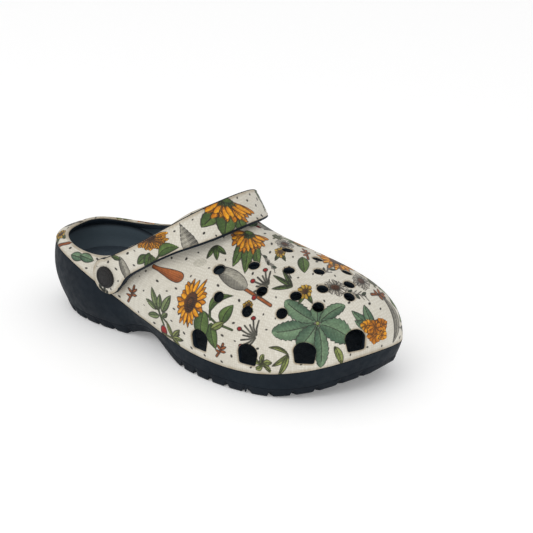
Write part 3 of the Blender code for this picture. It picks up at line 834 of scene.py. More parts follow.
def strap_line(inset, end_steps=26, arm_steps=52, arch_steps=92):
    """Inner line of half the strap from the rivet end: forward, side, low and high edge, run.

    The inset narrows the band and shortens its round end alike.
    """
    table = np.asarray(STRAP_EDGES)
    radius = END_RADIUS - inset
    stop = math.acos(-table[0, 0] / END_RADIUS)
    turn = np.linspace(0, stop, end_steps)
    share = smooth(0, 1, turn / stop)
    half = radius * np.sin(turn)
    low_scale = 1 + share * (-(table[0, 1] + inset) / half[-1] - 1)
    high_scale = 1 + share * ((table[0, 2] - inset) / half[-1] - 1)
    end = np.stack([-radius * np.cos(turn), np.full(end_steps, STRAP_OUT),
                    -half * low_scale, half * high_scale], 1)
    forward = np.linspace(7.5, ARM_LENGTH, arm_steps)
    arm = np.stack([forward, STRAP_OUT + ARM_FLARE * (forward / ARM_LENGTH) ** 1.5], 1)
    turns = np.linspace(math.pi / 2, 0, arch_steps)[1:]
    span = STRAP_OUT + ARM_FLARE + ARCH_SWELL * np.sin(2 * turns) ** 2
    arch = np.stack([ARM_LENGTH + (STRAP_CREST - ARM_LENGTH) * np.cos(turns), span * np.sin(turns)], 1)
    band = np.concatenate([arm, arch])
    low = along(table[:, (0, 1)], band[:, 0]) + inset
    high = along(table[:, (0, 2)], band[:, 0]) - inset
    return np.concatenate([end, np.stack([band[:, 0], band[:, 1], low, high], 1)])


def strap_rows(inset, reveal=0.0):
    """Whole strap line, rivet to rivet, with outward directions: forward, side, low, high, out.

    The reveal draws the lower edge of the band further in, and the upper edge a third of that.
    """
    half = strap_line(inset)
    near = half * (1, -1, 1, 1)
    whole = np.concatenate([near, half[-2::-1]])
    plan = strap_line(0.0)
    plan = np.concatenate([plan * (1, -1, 1, 1), plan[-2::-1]])[:, :2]
    tangent = unit(np.gradient(plan, axis=0))
    out = np.stack([tangent[:, 1], -tangent[:, 0]], 1)
    out[plan[:, 0] < 6] = np.stack([np.zeros(len(plan)), np.sign(plan[:, 1])], 1)[plan[:, 0] < 6]
    share = smooth(4, 18, whole[:, 0])
    whole[:, 2] += reveal * share
    whole[:, 3] -= reveal * share / 3
    return whole, unit(out)


def strap_edge_points(inset, depth, high, reveal=0.0):
    """One long edge of the strap at an inset from its outline and a depth out from its inner face."""
    whole, out = strap_rows(inset, reveal)
    rise = whole[:, 3] if high else whole[:, 2]
    return strap_point(whole[:, 0] + out[:, 0] * depth, whole[:, 1] + out[:, 1] * depth, rise)


def strap_face_rows(inset, depth, count, emboss=0.0, reveal=0.0):
    """Rows across one face of the strap between its two edges."""
    rows = []
    whole, out = strap_rows(inset, reveal)
    for t in np.linspace(0, 1, count)[1:-1]:
        rise = whole[:, 2] + (whole[:, 3] - whole[:, 2]) * t
        to_edge = np.minimum(rise - whole[:, 2], whole[:, 3] - rise) + inset
        ends = END_RADIUS - np.hypot(whole[:, 0], rise)
        to_edge = np.where(whole[:, 0] < 0, np.minimum(to_edge, ends), to_edge)
        level = depth - emboss * (1 - smooth(0.25, 0.7, np.abs(to_edge - 2.4)))
        rows.append(strap_point(whole[:, 0] + out[:, 0] * level, whole[:, 1] + out[:, 1] * level, rise))
    return rows


# Rounded edges, as (inset from the outline, distance out from the strap's inner face)
CORE_EDGE = ((1.1, 0.0), (0.55, 0.1), (0.2, 0.35), (0.0, 0.9), (0.0, 2.9), (0.08, 3.35),
             (0.3, CORE_THICKNESS))
SKIN_EDGE = ((0.42, 3.5), (0.4, 3.85), (0.48, 4.05), (0.66, 4.16), (0.95, STRAP_THICKNESS))
STRAP_REVEAL = 0.9    # of the foam that shows below the skin
STRAP_EMBOSS = 0.28   # depth of the line sunk along the skin's edges


def strap_core_shape():
    """Foam band with rounded edges."""
    shape = Shape()
    rows = [strap_edge_points(inset, depth, False) for inset, depth in CORE_EDGE]
    rows += strap_face_rows(CORE_EDGE[-1][0], CORE_THICKNESS, 12)
    rows += [strap_edge_points(inset, depth, True) for inset, depth in CORE_EDGE[::-1]]
    rows += strap_face_rows(CORE_EDGE[0][0], 0.0, 16)[::-1]
    numbers = shape.rows(rows)
    shape.strip(numbers[-1], numbers[0])
    return shape


def strap_skin_shape():
    """Printed face of the strap with a sunk line along its edges."""
    shape = Shape()
    rows = [strap_edge_points(inset, depth, False, STRAP_REVEAL) for inset, depth in SKIN_EDGE]
    rows += strap_face_rows(SKIN_EDGE[-1][0], STRAP_THICKNESS, 36, STRAP_EMBOSS, STRAP_REVEAL)
    rows += [strap_edge_points(inset, depth, True, STRAP_REVEAL) for inset, depth in SKIN_EDGE[::-1]]
    shape.rows(rows)
    return shape


# ---------------------------------------------------------------- rivets
def turned_shape(profile, sign):
    """Solid turned about the rivet axis from (radius, distance out from the shoe's middle) points."""
    shape = Shape()
    turns = np.linspace(0, 2 * math.pi, TURNED_STEPS, endpoint=False) * sign
    rows = []
    for radius, out in profile:
        side = np.full(TURNED_STEPS, HINGE_SIDE + sign * out)
        rows.append(np.stack([HINGE_STATION + radius * np.cos(turns), side,
                              HINGE_HEIGHT + radius * np.sin(turns)], 1))
    numbers = shape.rows(rows, True)
    if profile[0][0] >= BORE_RADIUS:
        shape.strip(numbers[-1], numbers[0], True)
        return shape
    shape.fan(numbers[0], shape.points[numbers[0]].mean(0), True)
    shape.fan(numbers[-1], shape.points[numbers[-1]].mean(0))
    return shape


def cap_profile():
    """Rivet head with a rolled edge, a shallow ring and a crowned middle, then its shank."""
    top = CAP_OUT + CAP_THICKNESS
    head = [(0.2, top - 0.35), (1.5, top - 0.36), (3.0, top - 0.42), (4.6, top - 0.52), (5.3, top - 0.62),
            (5.6, top - 0.85), (5.9, top - 0.85), (6.2, top - 0.45), (6.6, top - 0.32), (7.1, top - 0.5),
            (7.5, top - 0.85), (7.74, top - 1.3), (CAP_RADIUS, top - 1.8), (7.7, CAP_OUT + 0.12),
            (7.5, CAP_OUT)]
    end = SOCKET_OUT - SOCKET_BORE_DEPTH + GAP
    return head + [(SHANK_RADIUS + 0.3, CAP_OUT), (SHANK_RADIUS, CAP_OUT - 0.3), (SHANK_RADIUS, end + 0.5),
                   (SHANK_RADIUS - 0.5, end), (0.2, end)]


def washer_profile():
    """Spacer ring with eased edges."""
    low = WASHER_OUT
    high = WASHER_OUT + WASHER_THICKNESS
    return [(BORE_RADIUS, high - 0.3), (BORE_RADIUS + 0.3, high), (WASHER_RADIUS - 0.4, high),
            (WASHER_RADIUS, high - 0.4), (WASHER_RADIUS, low + 0.4), (WASHER_RADIUS - 0.4, low),
            (BORE_RADIUS + 0.3, low), (BORE_RADIUS, low + 0.3)]


def socket_profile():
    """Inner half of the rivet with a dished face."""
    inside = SOCKET_OUT - SOCKET_THICKNESS
    floor = SOCKET_OUT - SOCKET_BORE_DEPTH
    return [(0.2, floor), (BORE_RADIUS, floor), (BORE_RADIUS, SOCKET_OUT - 0.2),
            (BORE_RADIUS + 0.2, SOCKET_OUT), (SOCKET_RADIUS - 0.2, SOCKET_OUT),
            (SOCKET_RADIUS, SOCKET_OUT - 0.2), (SOCKET_RADIUS, inside + 0.9),
            (SOCKET_RADIUS - 0.3, inside + 0.4), (SOCKET_RADIUS - 1.0, inside), (4.2, inside + 0.05),
            (3.7, inside + 0.3), (2.0, inside + 0.36), (0.2, inside + 0.36)]


# ---------------------------------------------------------------- materials
def srgb(red, green, blue):
    """Linear colour from screen values of 0 to 255."""
    values = np.array([red, green, blue]) / 255
    return np.where(values <= 0.04045, values / 12.92, ((values + 0.055) / 1.055) ** 2.4)


class Look:
    """Node-based material under construction."""

    def __init__(self, name, gloss=0.3):
        self.material = bpy.data.materials.new(name)
        self.material.use_nodes = True
        self.nodes = self.material.node_tree.nodes
        self.links = self.material.node_tree.links
        self.shader = self.nodes["Principled BSDF"]
        self.shader.inputs["Specular IOR Level"].default_value = gloss
        self.place = self.nodes.new("ShaderNodeTexCoord").outputs["Object"]

    def link(self, source, target):
        """Joins an output, or sets a plain value."""
        if isinstance(source, bpy.types.NodeSocket):
            self.links.new(source, target)
        else:
            target.default_value = source

    def noise(self, scale, detail=3.0, rough=0.55, stretch=None):
        """Noise from 0 to 1 with features 1 / scale metres across."""
        node = self.nodes.new("ShaderNodeTexNoise")
        node.inputs["Scale"].default_value = scale
        node.inputs["Detail"].default_value = detail
        node.inputs["Roughness"].default_value = rough
        where = self.place
        if stretch:
            mapping = self.nodes.new("ShaderNodeMapping")
            mapping.inputs["Scale"].default_value = stretch
            self.links.new(self.place, mapping.inputs["Vector"])
            where = mapping.outputs["Vector"]
        self.links.new(where, node.inputs["Vector"])
        return node.outputs["Fac"]

    def cells(self, scale, randomness=1.0, feature="F1"):
        """Distance to the nearest of scattered points."""
        node = self.nodes.new("ShaderNodeTexVoronoi")
        node.feature = feature
        node.inputs["Scale"].default_value = scale
        node.inputs["Randomness"].default_value = randomness
        self.links.new(self.place, node.inputs["Vector"])
        return node.outputs["Distance"]

    def fact(self, name, colour=False):
        """Value stored on the mesh."""
        node = self.nodes.new("ShaderNodeAttribute")
        node.attribute_name = name
        return node.outputs["Color" if colour else "Fac"]

    def spread(self, value, low, high, start=0.0, end=1.0, soft=True):
        """Value mapped from low..high to start..end and clamped."""
        node = self.nodes.new("ShaderNodeMapRange")
        node.interpolation_type = "SMOOTHSTEP" if soft else "LINEAR"
        self.link(value, node.inputs["Value"])
        for socket, number in (("From Min", low), ("From Max", high), ("To Min", start), ("To Max", end)):
            node.inputs[socket].default_value = number
        return node.outputs["Result"]

    def math(self, operation, first, second=0.0):
        """Arithmetic."""
        node = self.nodes.new("ShaderNodeMath")
        node.operation = operation
        self.link(first, node.inputs[0])
        self.link(second, node.inputs[1])
        return node.outputs[0]

    def mix(self, share, first, second, blend="MIX"):
        """Colour between two colours."""
        node = self.nodes.new("ShaderNodeMix")
        node.data_type = "RGBA"
        node.blend_type = blend
        self.link(share, node.inputs["Factor"])
        for colour, socket in ((first, node.inputs[6]), (second, node.inputs[7])):
            self.link(colour if isinstance(colour, bpy.types.NodeSocket) else (*colour, 1.0), socket)
        return node.outputs[2]

    def bump(self, height, distance, strength=1.0, under=None):
        """Relief of a height from 0 to 1 that is distance metres tall."""
        node = self.nodes.new("ShaderNodeBump")
        node.inputs["Strength"].default_value = strength
        node.inputs["Distance"].default_value = distance
        self.link(height, node.inputs["Height"])
        if under is not None:
            self.links.new(under, node.inputs["Normal"])
        return node.outputs["Normal"]

    def done(self, colour, roughness, normal):
        """Joins the three to the shader."""
        self.links.new(colour, self.shader.inputs["Base Color"])
        self.links.new(roughness, self.shader.inputs["Roughness"])
        self.links.new(normal, self.shader.inputs["Normal"])
        return self.material


CREAM = srgb(211, 207, 195)
CREAM_SHADE = srgb(204, 199, 186)
CREAM_FLECK = srgb(150, 142, 124)
PIT_SHADE = srgb(206, 200, 190)
# Brown tint near the sole line, holes and rim, and painted shade on the band under the strap
EDGE_TINT_AND_SHADE = srgb(178, 156, 118)
INK = srgb(30, 27, 24)
NAVY = (srgb(16, 24, 32), srgb(22, 31, 39))
# Paler navy painted on the deep lining: painted light where the inside of the shoe is in shade
LINING_PAINTED_LIGHT = srgb(68, 80, 88)
TREAD_NAVY = (srgb(18, 24, 31), srgb(24, 31, 38))
BED_NAVY = (srgb(48, 57, 65), srgb(57, 66, 74))
CHARCOAL = (srgb(24, 23, 23), srgb(35, 34, 34))
WASHER_GREY = (srgb(50, 53, 57), srgb(64, 67, 70))
DUST = srgb(120, 124, 128)
RUBBED_FOAM = srgb(92, 100, 110)
RUBBED_PLASTIC = srgb(120, 118, 114)
SKIN_GRAIN = 640    # dimples to a metre


def printed_skin_look(name):
    """Cream skin with printed motifs, inked outlines, a dimpled grain and a brown tint near edges, painted
    shade under the strap.

    It reads what add_print stores: the motifs' colour, how far inside them a point is, how far from an
    inked line, and how far from an edge.
    """
    look = Look(name)
    cloud = look.noise(38, 4)
    cream = look.mix(look.spread(cloud, 0.35, 0.65), CREAM_SHADE, CREAM)
    fleck = look.spread(look.noise(900, 2, 0.7), 0.66, 0.8, 0.0, 0.22)
    cream = look.mix(fleck, cream, CREAM_FLECK)
    paint = look.fact("print_fill", True)
    tint = look.nodes.new("ShaderNodeHueSaturation")
    look.links.new(paint, tint.inputs["Color"])
    look.links.new(look.spread(look.noise(260, 5, 0.7), 0.3, 0.7, 0.72, 1.16), tint.inputs["Value"])
    covered = look.spread(look.fact("print_mask"), -0.1, 0.1)
    colour = look.mix(covered, cream, tint.outputs["Color"])
    line = look.math("ABSOLUTE", look.fact("print_seam"))
    weight = look.spread(look.noise(180, 2), 0.3, 0.7, 0.75, 1.0)
    inked = look.math("MULTIPLY", look.spread(line, 0.16, 0.42, 0.92, 0.0), weight)
    colour = look.mix(inked, colour, INK)
    # Brown tint near edges; the band under the strap's lower edge is painted shade
    edge_tint_and_shade = look.spread(look.fact("print_edge"), 0.2, 3.2, 0.75, 0.0)
    edge_tint_and_shade = look.math("MULTIPLY", edge_tint_and_shade, look.spread(look.noise(120, 4, 0.6), 0.25, 0.75, 0.35, 1.0))
    colour = look.mix(edge_tint_and_shade, colour, EDGE_TINT_AND_SHADE, "MULTIPLY")
    pits = look.spread(look.cells(SKIN_GRAIN, 0.3), 0.28, 0.6, 0.0, 0.3)
    colour = look.mix(pits, colour, PIT_SHADE, "MULTIPLY")
    rough = look.spread(look.noise(300, 3), 0.3, 0.7, 0.47, 0.6)
    grain = look.bump(look.cells(SKIN_GRAIN, 0.3), 0.0003, 1.0)
    grain = look.bump(look.noise(520, 3), 0.00005, 0.6, grain)
    return look.done(colour, rough, grain)


def foam_look(name, tones, roughness=(0.5, 0.68), grain=1400, relief=0.00006, dust=0.03, painted_light=None):
    """Moulded foam with a fine skin, faint mottling and a little pale dust; painted_light is painted light
    on the shaded deep lining.
    """
    look = Look(name, 0.12)
    mottle = look.spread(look.noise(34, 4, 0.55), 0.3, 0.7)
    colour = look.mix(mottle, *tones)
    # Painted light: the deep lining, shaded inside the shoe, is painted a paler navy
    if painted_light is not None:
        colour = look.mix(look.fact("lining_painted_light"), colour, painted_light)
    speck = look.spread(look.noise(1500, 2, 0.8), 0.62, 0.8, 0.0, dust)
    colour = look.mix(speck, colour, DUST)
    rub = look.spread(look.noise(90, 6, 0.7, (1, 1, 3)), 0.6, 0.8, 0.0, dust)
    colour = look.mix(rub, colour, RUBBED_FOAM)
    rough = look.spread(look.noise(210, 4), 0.3, 0.7, *roughness)
    normal = look.bump(look.cells(grain, 1.0), relief, 0.7)
    normal = look.bump(look.noise(70, 3), 0.00018, 0.5, normal)
    return look.done(colour, rough, normal)


def plastic_look(name, tones, roughness):
    """Moulded plastic with fine turning marks and rubbed spots."""
    look = Look(name, 0.2)
    colour = look.mix(look.spread(look.noise(500, 4, 0.65), 0.3, 0.7), *tones)
    scuff = look.spread(look.noise(1400, 3, 0.7, (1, 1, 4)), 0.6, 0.75, 0.0, 0.15)
    colour = look.mix(scuff, colour, RUBBED_PLASTIC)
    rough = look.spread(look.noise(800, 3), 0.3, 0.7, *roughness)
    normal = look.bump(look.cells(1500, 1.0), 0.00008, 0.8)
    return look.done(colour, rough, normal)


# ---------------------------------------------------------------- print
# Right, up and front of the print, fixed in the frame; each motif lies on the surface turned to match them
PRINT_RIGHT = np.array((0.7735, 0.6338, 0.0))
PRINT_UP = np.array((-0.2344, 0.2860, 0.9291))
PRINT_FRONT = np.cross(PRINT_RIGHT, PRINT_UP)
FAR = 6.0           # distance from an inked line where there is none
LINE_REACH = 0.8    # distance up to which a line is stored
EDGE_REACH = 9.0    # distance up to which an edge is stored
BARE = srgb(120, 120, 90)

# Dark and light tone of each kind of motif
PETAL = (srgb(196, 112, 12), srgb(240, 172, 34))
PETAL_BACK = (srgb(148, 82, 10), srgb(214, 134, 22))
SEEDS = (srgb(34, 22, 16), srgb(92, 56, 34))
GREEN = (srgb(42, 66, 32), srgb(98, 122, 62))
BLUE_GREEN = (srgb(44, 74, 58), srgb(118, 144, 112))
PALE_GREEN = (srgb(84, 100, 46), srgb(154, 162, 96))
NEEDLE = (srgb(38, 50, 38), srgb(76, 88, 68))
WOOD = (srgb(104, 50, 18), srgb(180, 104, 54))
METAL = (srgb(78, 76, 71), srgb(174, 170, 156))
RED = (srgb(96, 14, 16), srgb(168, 34, 30))
STRAW = (srgb(140, 100, 30), srgb(206, 168, 62))
PALE_PETAL = (srgb(160, 153, 138), srgb(220, 215, 203))
LANCET = (NEEDLE[0], GREEN[1])
NEEDLE_STEM = (NEEDLE[1], METAL[1])
SPRAY = (GREEN[0], srgb(140, 156, 104))
SEED_HEART = (SEEDS[0], srgb(96, 62, 36))
BRISTLE_END = (INK, srgb(58, 58, 58))
SMUDGE = (srgb(182, 178, 165), srgb(198, 194, 180))
SPECK = (INK, srgb(70, 64, 54))


def vertex_normals(shape):
    """Direction each vertex faces."""
    a, b, c, d = (shape.points[shape.faces[:, k]] for k in range(4))
    facing = np.cross(c - a, d - b) + np.cross(b - a, c - b) * 1e-3
    total = np.zeros(shape.points.shape)
    for corner in range(4):
        np.add.at(total, shape.faces[:, corner], facing)
    return unit(total)


class Canvas:
    """Printed picture on a mesh: colour, and distances inside motifs, to inked lines and to edges."""

    def __init__(self, shape):
        self.points = shape.points
        self.normals = vertex_normals(shape)
        count = len(self.points)
        self.fill = np.tile(BARE, (count, 1))
        self.mask = np.full(count, -9.0)
        self.seam = np.full(count, -FAR)
        self.edge = np.full(count, EDGE_REACH)
        self.spots = []

    def paint(self, where, inside, colour, ink=True):
        """Lays a shape, given by the distance inside it, over what is there."""
        near = inside > -1.2
        at = where[near]
        inside = inside[near]
        colour = np.broadcast_to(colour, (len(near), 3))[near]
        bare = (self.mask[at] < 0) & (inside > self.mask[at])
        cover = np.where(bare, 1.0, np.clip(0.5 + inside / 0.5, 0, 1))
        self.fill[at] += (colour - self.fill[at]) * cover[:, None]
        self.mask[at] = np.maximum(self.mask[at], inside)
        if ink:
            line = (np.abs(inside) < LINE_REACH) & ((inside > 0) | (np.abs(inside) < np.abs(self.seam[at])))
            self.seam[at[line]] = inside[line]
        self.seam[at[inside >= (LINE_REACH if ink else 0)]] = FAR

    def rule(self, where, offset, allowed):
        """Draws a line where the offset passes through 0."""
        near = allowed & (np.abs(offset) < LINE_REACH)
        at = where[near]
        closer = np.abs(offset[near]) < np.abs(self.seam[at])
        self.seam[at[closer]] = offset[near][closer]


class Brush:
    """Flat coordinates on the canvas about an anchor: x to the right and y up, in millimetres."""

    def __init__(self, canvas, anchor, turn=0.0, squash=(1.0, 1.0), reach=30.0, room=8.0):
        self.canvas = canvas
        start = ((canvas.points - anchor) ** 2).sum(1).argmin()
        middle = canvas.points[start]
        canvas.spots.append((*middle, room))
        normal = canvas.normals[start]
        right = PRINT_RIGHT if normal @ PRINT_FRONT > -0.2 else PRINT_RIGHT * (-1, 1, 1)
        across = unit(right - normal * (right @ normal))
        up = np.cross(normal, across)
        gap = canvas.points - middle
        far = np.linalg.norm(gap, axis=1)
        self.where = np.where((far < reach) & (canvas.normals @ normal > 0.1))[0]
        gap = gap[self.where]
        x = gap @ across
        y = gap @ up
        scale = far[self.where] / np.maximum(np.hypot(x, y), 1e-6)
        x = x * scale * np.clip(across @ right, 0.6, 1)
        y = y * scale * (np.clip(up @ PRINT_UP, 0.55, 1) if normal @ PRINT_FRONT > 0.1 else 1.0)
        turn = math.radians(turn)
        self.x = (x * math.cos(turn) + y * math.sin(turn)) / squash[0]
        self.y = (y * math.cos(turn) - x * math.sin(turn)) / squash[1]

    def lay(self, inside, colour, ink=True):
        """Paints a shape."""
        self.canvas.paint(self.where, inside, colour, ink)

    def leaf(self, base, tip, width, tones, bend=0.0, belly=0.45, teeth=0.0, rib=True, grain=0.0):
        """Leaf, petal or blade from base to tip, its midrib bent sideways."""
        dark, light = tones
        step = np.subtract(tip, base).astype(float)
        length = math.hypot(*step)
        x = self.x - base[0]
        y = self.y - base[1]
        t = (x * step[0] + y * step[1]) / length ** 2
        inner = np.clip(t, 0, 1)
        side = (y * step[0] - x * step[1]) / length - bend * 4 * inner * (1 - inner)
        power = 0.75 * (1 - belly) / belly
        half = inner ** 0.75 * (1 - inner) ** power / (belly ** 0.75 * (1 - belly) ** power) * width / 2
        half = half * (1 - teeth * ((inner * length / 3.2) % 1))
        inside = half - np.abs(side) - length * np.maximum(0, np.maximum(-t, t - 1))
        edge = np.clip(np.abs(side) / np.maximum(half, 0.3), 0, 1)
        veins = 0.5 + 0.5 * np.cos((t * length - np.abs(side) * 0.8) * 2.6)
        share = 0.22 + 0.36 * (side > 0) + 0.26 * veins * (1 - edge) + 0.25 * (1 - edge) - 0.2 * (1 - inner)
        if grain:
            share = share + grain * np.cos((self.x + self.y) * 3.6) * np.cos((self.x - self.y) * 3.6)
        self.lay(inside, dark + (light - dark) * np.clip(share, 0, 1)[:, None])
        if rib:
            self.canvas.rule(self.where, side, (inside > 0.45) & (t > 0.05) & (t < 0.9))

    def stroke(self, points, width, tones):
        """Stem along a run of points."""
        best = np.full(len(self.x), 99.0)
        for (x0, y0), (x1, y1) in zip(points, points[1:]):
            dx, dy = x1 - x0, y1 - y0
            t = np.clip(((self.x - x0) * dx + (self.y - y0) * dy) / (dx * dx + dy * dy), 0, 1)
            best = np.minimum(best, np.hypot(self.x - x0 - t * dx, self.y - y0 - t * dy))
        dark, light = tones
        self.lay(width / 2 - best, dark + (light - dark) * 0.45)

    def line(self, points):
        """Inked line through a run of points."""
        for (x0, y0), (x1, y1) in zip(points, points[1:]):
            length = math.hypot(x1 - x0, y1 - y0)
            t = ((self.x - x0) * (x1 - x0) + (self.y - y0) * (y1 - y0)) / length
            side = ((self.y - y0) * (x1 - x0) - (self.x - x0) * (y1 - y0)) / length
            self.canvas.rule(self.where, side, (t > -0.2) & (t < length + 0.2))

    def disc(self, x, y, radius_x, radius_y, tones, grain=0.0, ink=True):
        """Ellipse, lighter towards its upper left, with a grain of dark dots."""
        dark, light = tones
        u = (self.x - x) / radius_x
        v = (self.y - y) / radius_y
        share = np.clip(0.5 - 0.3 * u + 0.3 * v, 0, 1)
        if grain:
            dots = np.cos((self.x + self.y) * 4.2 / grain) * np.cos((self.x - self.y) * 4.2 / grain)
            share = np.clip(share + 0.5 * dots, 0, 1)
        inside = (1 - np.hypot(u, v)) * min(radius_x, radius_y)
        self.lay(inside, dark + (light - dark) * share[:, None], ink)

    def ring_of(self, count, inner, outer, width, tones, first=0.0, last=360.0, **more):
        """Petals or leaves round the origin."""
        whole = abs(last - first) >= 360
        for number in range(count):
            angle = math.radians(first + (last - first) * number / (count if whole else count - 1))
            long = outer * (0.93 + 0.09 * math.sin(number * 2.4 + outer))
            bend = 0.06 * long * math.sin(number * 1.7)
            self.leaf((inner * math.cos(angle), inner * math.sin(angle)),
                      (long * math.cos(angle), long * math.sin(angle)), width, tones, bend, **more)


def sunflower(brush, radius):
    """Flower seen from the front."""
    brush.ring_of(17, radius * 0.3, radius * 1.04, radius * 0.24, PETAL_BACK, 10, 370, belly=0.5, rib=False)
    brush.ring_of(15, radius * 0.28, radius * 0.95, radius * 0.23, PETAL, 0, 360, belly=0.5, rib=False)
    brush.disc(0, 0, radius * 0.4, radius * 0.4, SEEDS, 1.4)
    brush.disc(0, 0, radius * 0.19, radius * 0.19, SEED_HEART, 1.0)


def hanging_sunflower(brush, size):
    """Flower seen from behind with drooping petals, a green cap and leaves beneath."""
    for base, tip, width in (((-0.1, 0), (-0.75, -1.5), 0.7), ((0.4, 0), (0.9, -1.5), 0.62),
                             ((0.1, 0.1), (0.1, -1.8), 0.8)):
        brush.leaf(np.multiply(base, size), np.multiply(tip, size), width * size, GREEN, teeth=0.1)
    brush.y -= 0.45 * size
    brush.ring_of(14, size * 0.15, size * 1.34, size * 0.28, PETAL_BACK, -176, -4, belly=0.6, rib=False)
    brush.ring_of(12, size * 0.15, size * 1.16, size * 0.28, PETAL, -168, -12, belly=0.6, rib=False)
    brush.ring_of(5, size * 0.02, size * 0.5, size * 0.26, GREEN, -160, -20, belly=0.4)
    brush.disc(0, size * 0.05, size * 0.3, size * 0.16, GREEN)
    brush.y += 0.45 * size


def rosette(brush, leaves):
    """Large leaves round one point, given as tip and width."""
    for x, y, width in leaves:
        brush.leaf((x * 0.06, y * 0.06), (x, y), width, BLUE_GREEN, 0.05 * math.hypot(x, y), 0.55, 0.16)
    brush.disc(0, 0, 1.3, 1.3, PALE_GREEN)


def berries(brush, size, turn):
    """Fan of needles, some tipped with a red berry."""
    for number, degrees in enumerate(range(-66, 80, 18)):
        angle = math.radians(degrees + turn)
        long = size * (0.84 + 0.16 * math.sin(number * 2.1))
        tip = (long * math.cos(angle), long * math.sin(angle))
        knee = (tip[0] * 0.5 - tip[1] * 0.05, tip[1] * 0.5 + tip[0] * 0.05)
        brush.stroke([(tip[0] * 0.12, tip[1] * 0.12), knee, tip], 0.7, NEEDLE_STEM)
        if number % 3 == 1:
            brush.disc(*tip, 1.5, 1.3, RED)


def sprig(brush, size, tones, pairs=3, width=0.3):
    """Upright stem with pairs of leaves and one at the top."""
    brush.stroke([(0, -size), (size * 0.06, 0), (0, size * 0.5)], 1.0, tones)
    for number in range(pairs):
        y = size * (-0.6 + 1.1 * number / pairs)
        for sign in (-1, 1):
            tip = (sign * size * 0.62, y + size * 0.5)
            brush.leaf((0, y), tip, size * width, tones, sign * -0.08 * size, 0.5)
    brush.leaf((0, size * 0.4), (0, size * 1.1), size * width, tones)


def needles(brush, size, turn, spread=0.6):
    """Long stalk with fine needles."""
    cos, sin = math.cos(math.radians(turn)), math.sin(math.radians(turn))
    brush.line([(-size * cos, -size * sin), (size * cos, size * sin)])
    for number in range(8):
        t = -0.75 + 0.22 * number
        sign = (-1) ** number
        base = (t * size * cos, t * size * sin)
        tip = (base[0] + size * (0.45 * cos - sign * spread * 0.6 * sin),
               base[1] + size * (0.45 * sin + sign * spread * 0.6 * cos))
        brush.line([base, tip])
        if number % 3 == 0:
            brush.leaf(base, tip, 1.5, NEEDLE, 0.0, 0.5, rib=False)


def marigold(brush, radius):
    """Ruffled orange flower with blue-green leaves at its upper left."""
    for x, y in ((-1.5, 0.9), (-0.7, 1.5), (-1.3, 0.2)):
        brush.leaf((0, 0), (x * radius, y * radius), radius * 0.6, BLUE_GREEN, 0.1 * radius)
    brush.disc(0.2 * radius, -0.1 * radius, 0.75 * radius, 0.6 * radius, PETAL_BACK, ink=False)
    tufts = ((0.5, 0.3, 0.55), (-0.4, 0.0, 0.5), (0.2, -0.5, 0.6), (0.7, -0.3, 0.45), (0.1, 0.05, 0.5))
    for number, (x, y, size) in enumerate(tufts):
        brush.x -= x * radius
        brush.y -= y * radius
        brush.ring_of(9, radius * 0.08, radius * size, radius * 0.32, PETAL if number % 2 else PETAL_BACK,
                      20 * number, 360 + 20 * number, belly=0.65, rib=False)
        brush.x += x * radius
        brush.y += y * radius


def little_flower(brush, radius):
    """Small yellow flower on two leaves."""
    brush.leaf((0, 0), (-radius * 0.9, -radius * 1.5), radius * 0.6, GREEN)
    brush.leaf((0, 0), (radius * 0.9, -radius * 1.5), radius * 0.6, GREEN)
    brush.ring_of(9, 0.1 * radius, radius, radius * 0.55, STRAW, belly=0.65, rib=False)
    brush.disc(0, 0, radius * 0.35, radius * 0.3, SEEDS)


def twig(brush, size):
    """Small brown branched twig."""
    brush.stroke([(-0.4 * size, -size), (0.0, 0.0), (0.15 * size, size)], 1.3, WOOD)
    for x, y in ((0.7, 0.1), (-0.7, -0.2), (0.6, 0.8), (-0.6, 0.6)):
        brush.leaf((0, y * size * 0.5 - 0.2 * size), (x * size, y * size), 1.7, WOOD, rib=False)


def tool_handle(brush, size):
    """Turned wooden handle, thin at its left end and round at its right end."""
    dx, dy = size * 1.75, -size * 0.95
    x, y = brush.x + size * 0.95, brush.y - size * 0.6
    t = np.clip((x * dx + y * dy) / (dx * dx + dy * dy), 0, 1)
    side = (y * dx - x * dy) / math.hypot(dx, dy)
    radius = size * (0.13 + 0.24 * smooth(0.1, 0.95, t))
    share = np.clip(0.55 + 0.35 * side / radius + 0.2 * np.cos(side * 5 + t * 3), 0, 1)
    brush.lay(radius - np.hypot(x - t * dx, y - t * dy), WOOD[0] + (WOOD[1] - WOOD[0]) * share[:, None])


def mesh_brush(brush, size):
    """Wire basket on a thin rod."""
    brush.stroke([(size * 0.8, -size * 0.8), (size * 2.7, -size * 2.3)], 1.9, WOOD)
    brush.leaf((-size * 0.95, size * 0.85), (size * 1.15, -size * 0.95), size * 1.06, METAL, 0.0, 0.55,
               rib=False, grain=0.45)
    brush.disc(-size * 0.72, size * 0.66, size * 0.38, size * 0.32, BRISTLE_END)


def cone(brush, size):
    """Grey mesh cone, point up."""
    brush.leaf((0.4 * size, -1.3 * size), (-0.4 * size, 1.15 * size), size * 1.05, METAL, 0.0, 0.34,
               rib=False, grain=0.4)


def squiggle(brush, size):
    """Lobed pale green leaf."""
    for x, y, width in ((-1.0, 0.5, 0.5), (-0.6, -0.6, 0.5), (0.9, 0.35, 0.55), (0.8, -0.6, 0.45),
                        (0.1, 1.0, 0.45)):
        brush.leaf((0, 0), (x * size, y * size), width * size, PALE_GREEN, 0.1 * size, 0.6, 0.2)


def daisy(brush, radius):
    """Pale grey flower with a brown middle."""
    brush.ring_of(10, radius * 0.2, radius, radius * 0.46, PALE_PETAL, belly=0.6)
    brush.disc(0, 0, radius * 0.36, radius * 0.34, SEEDS, 1.0)


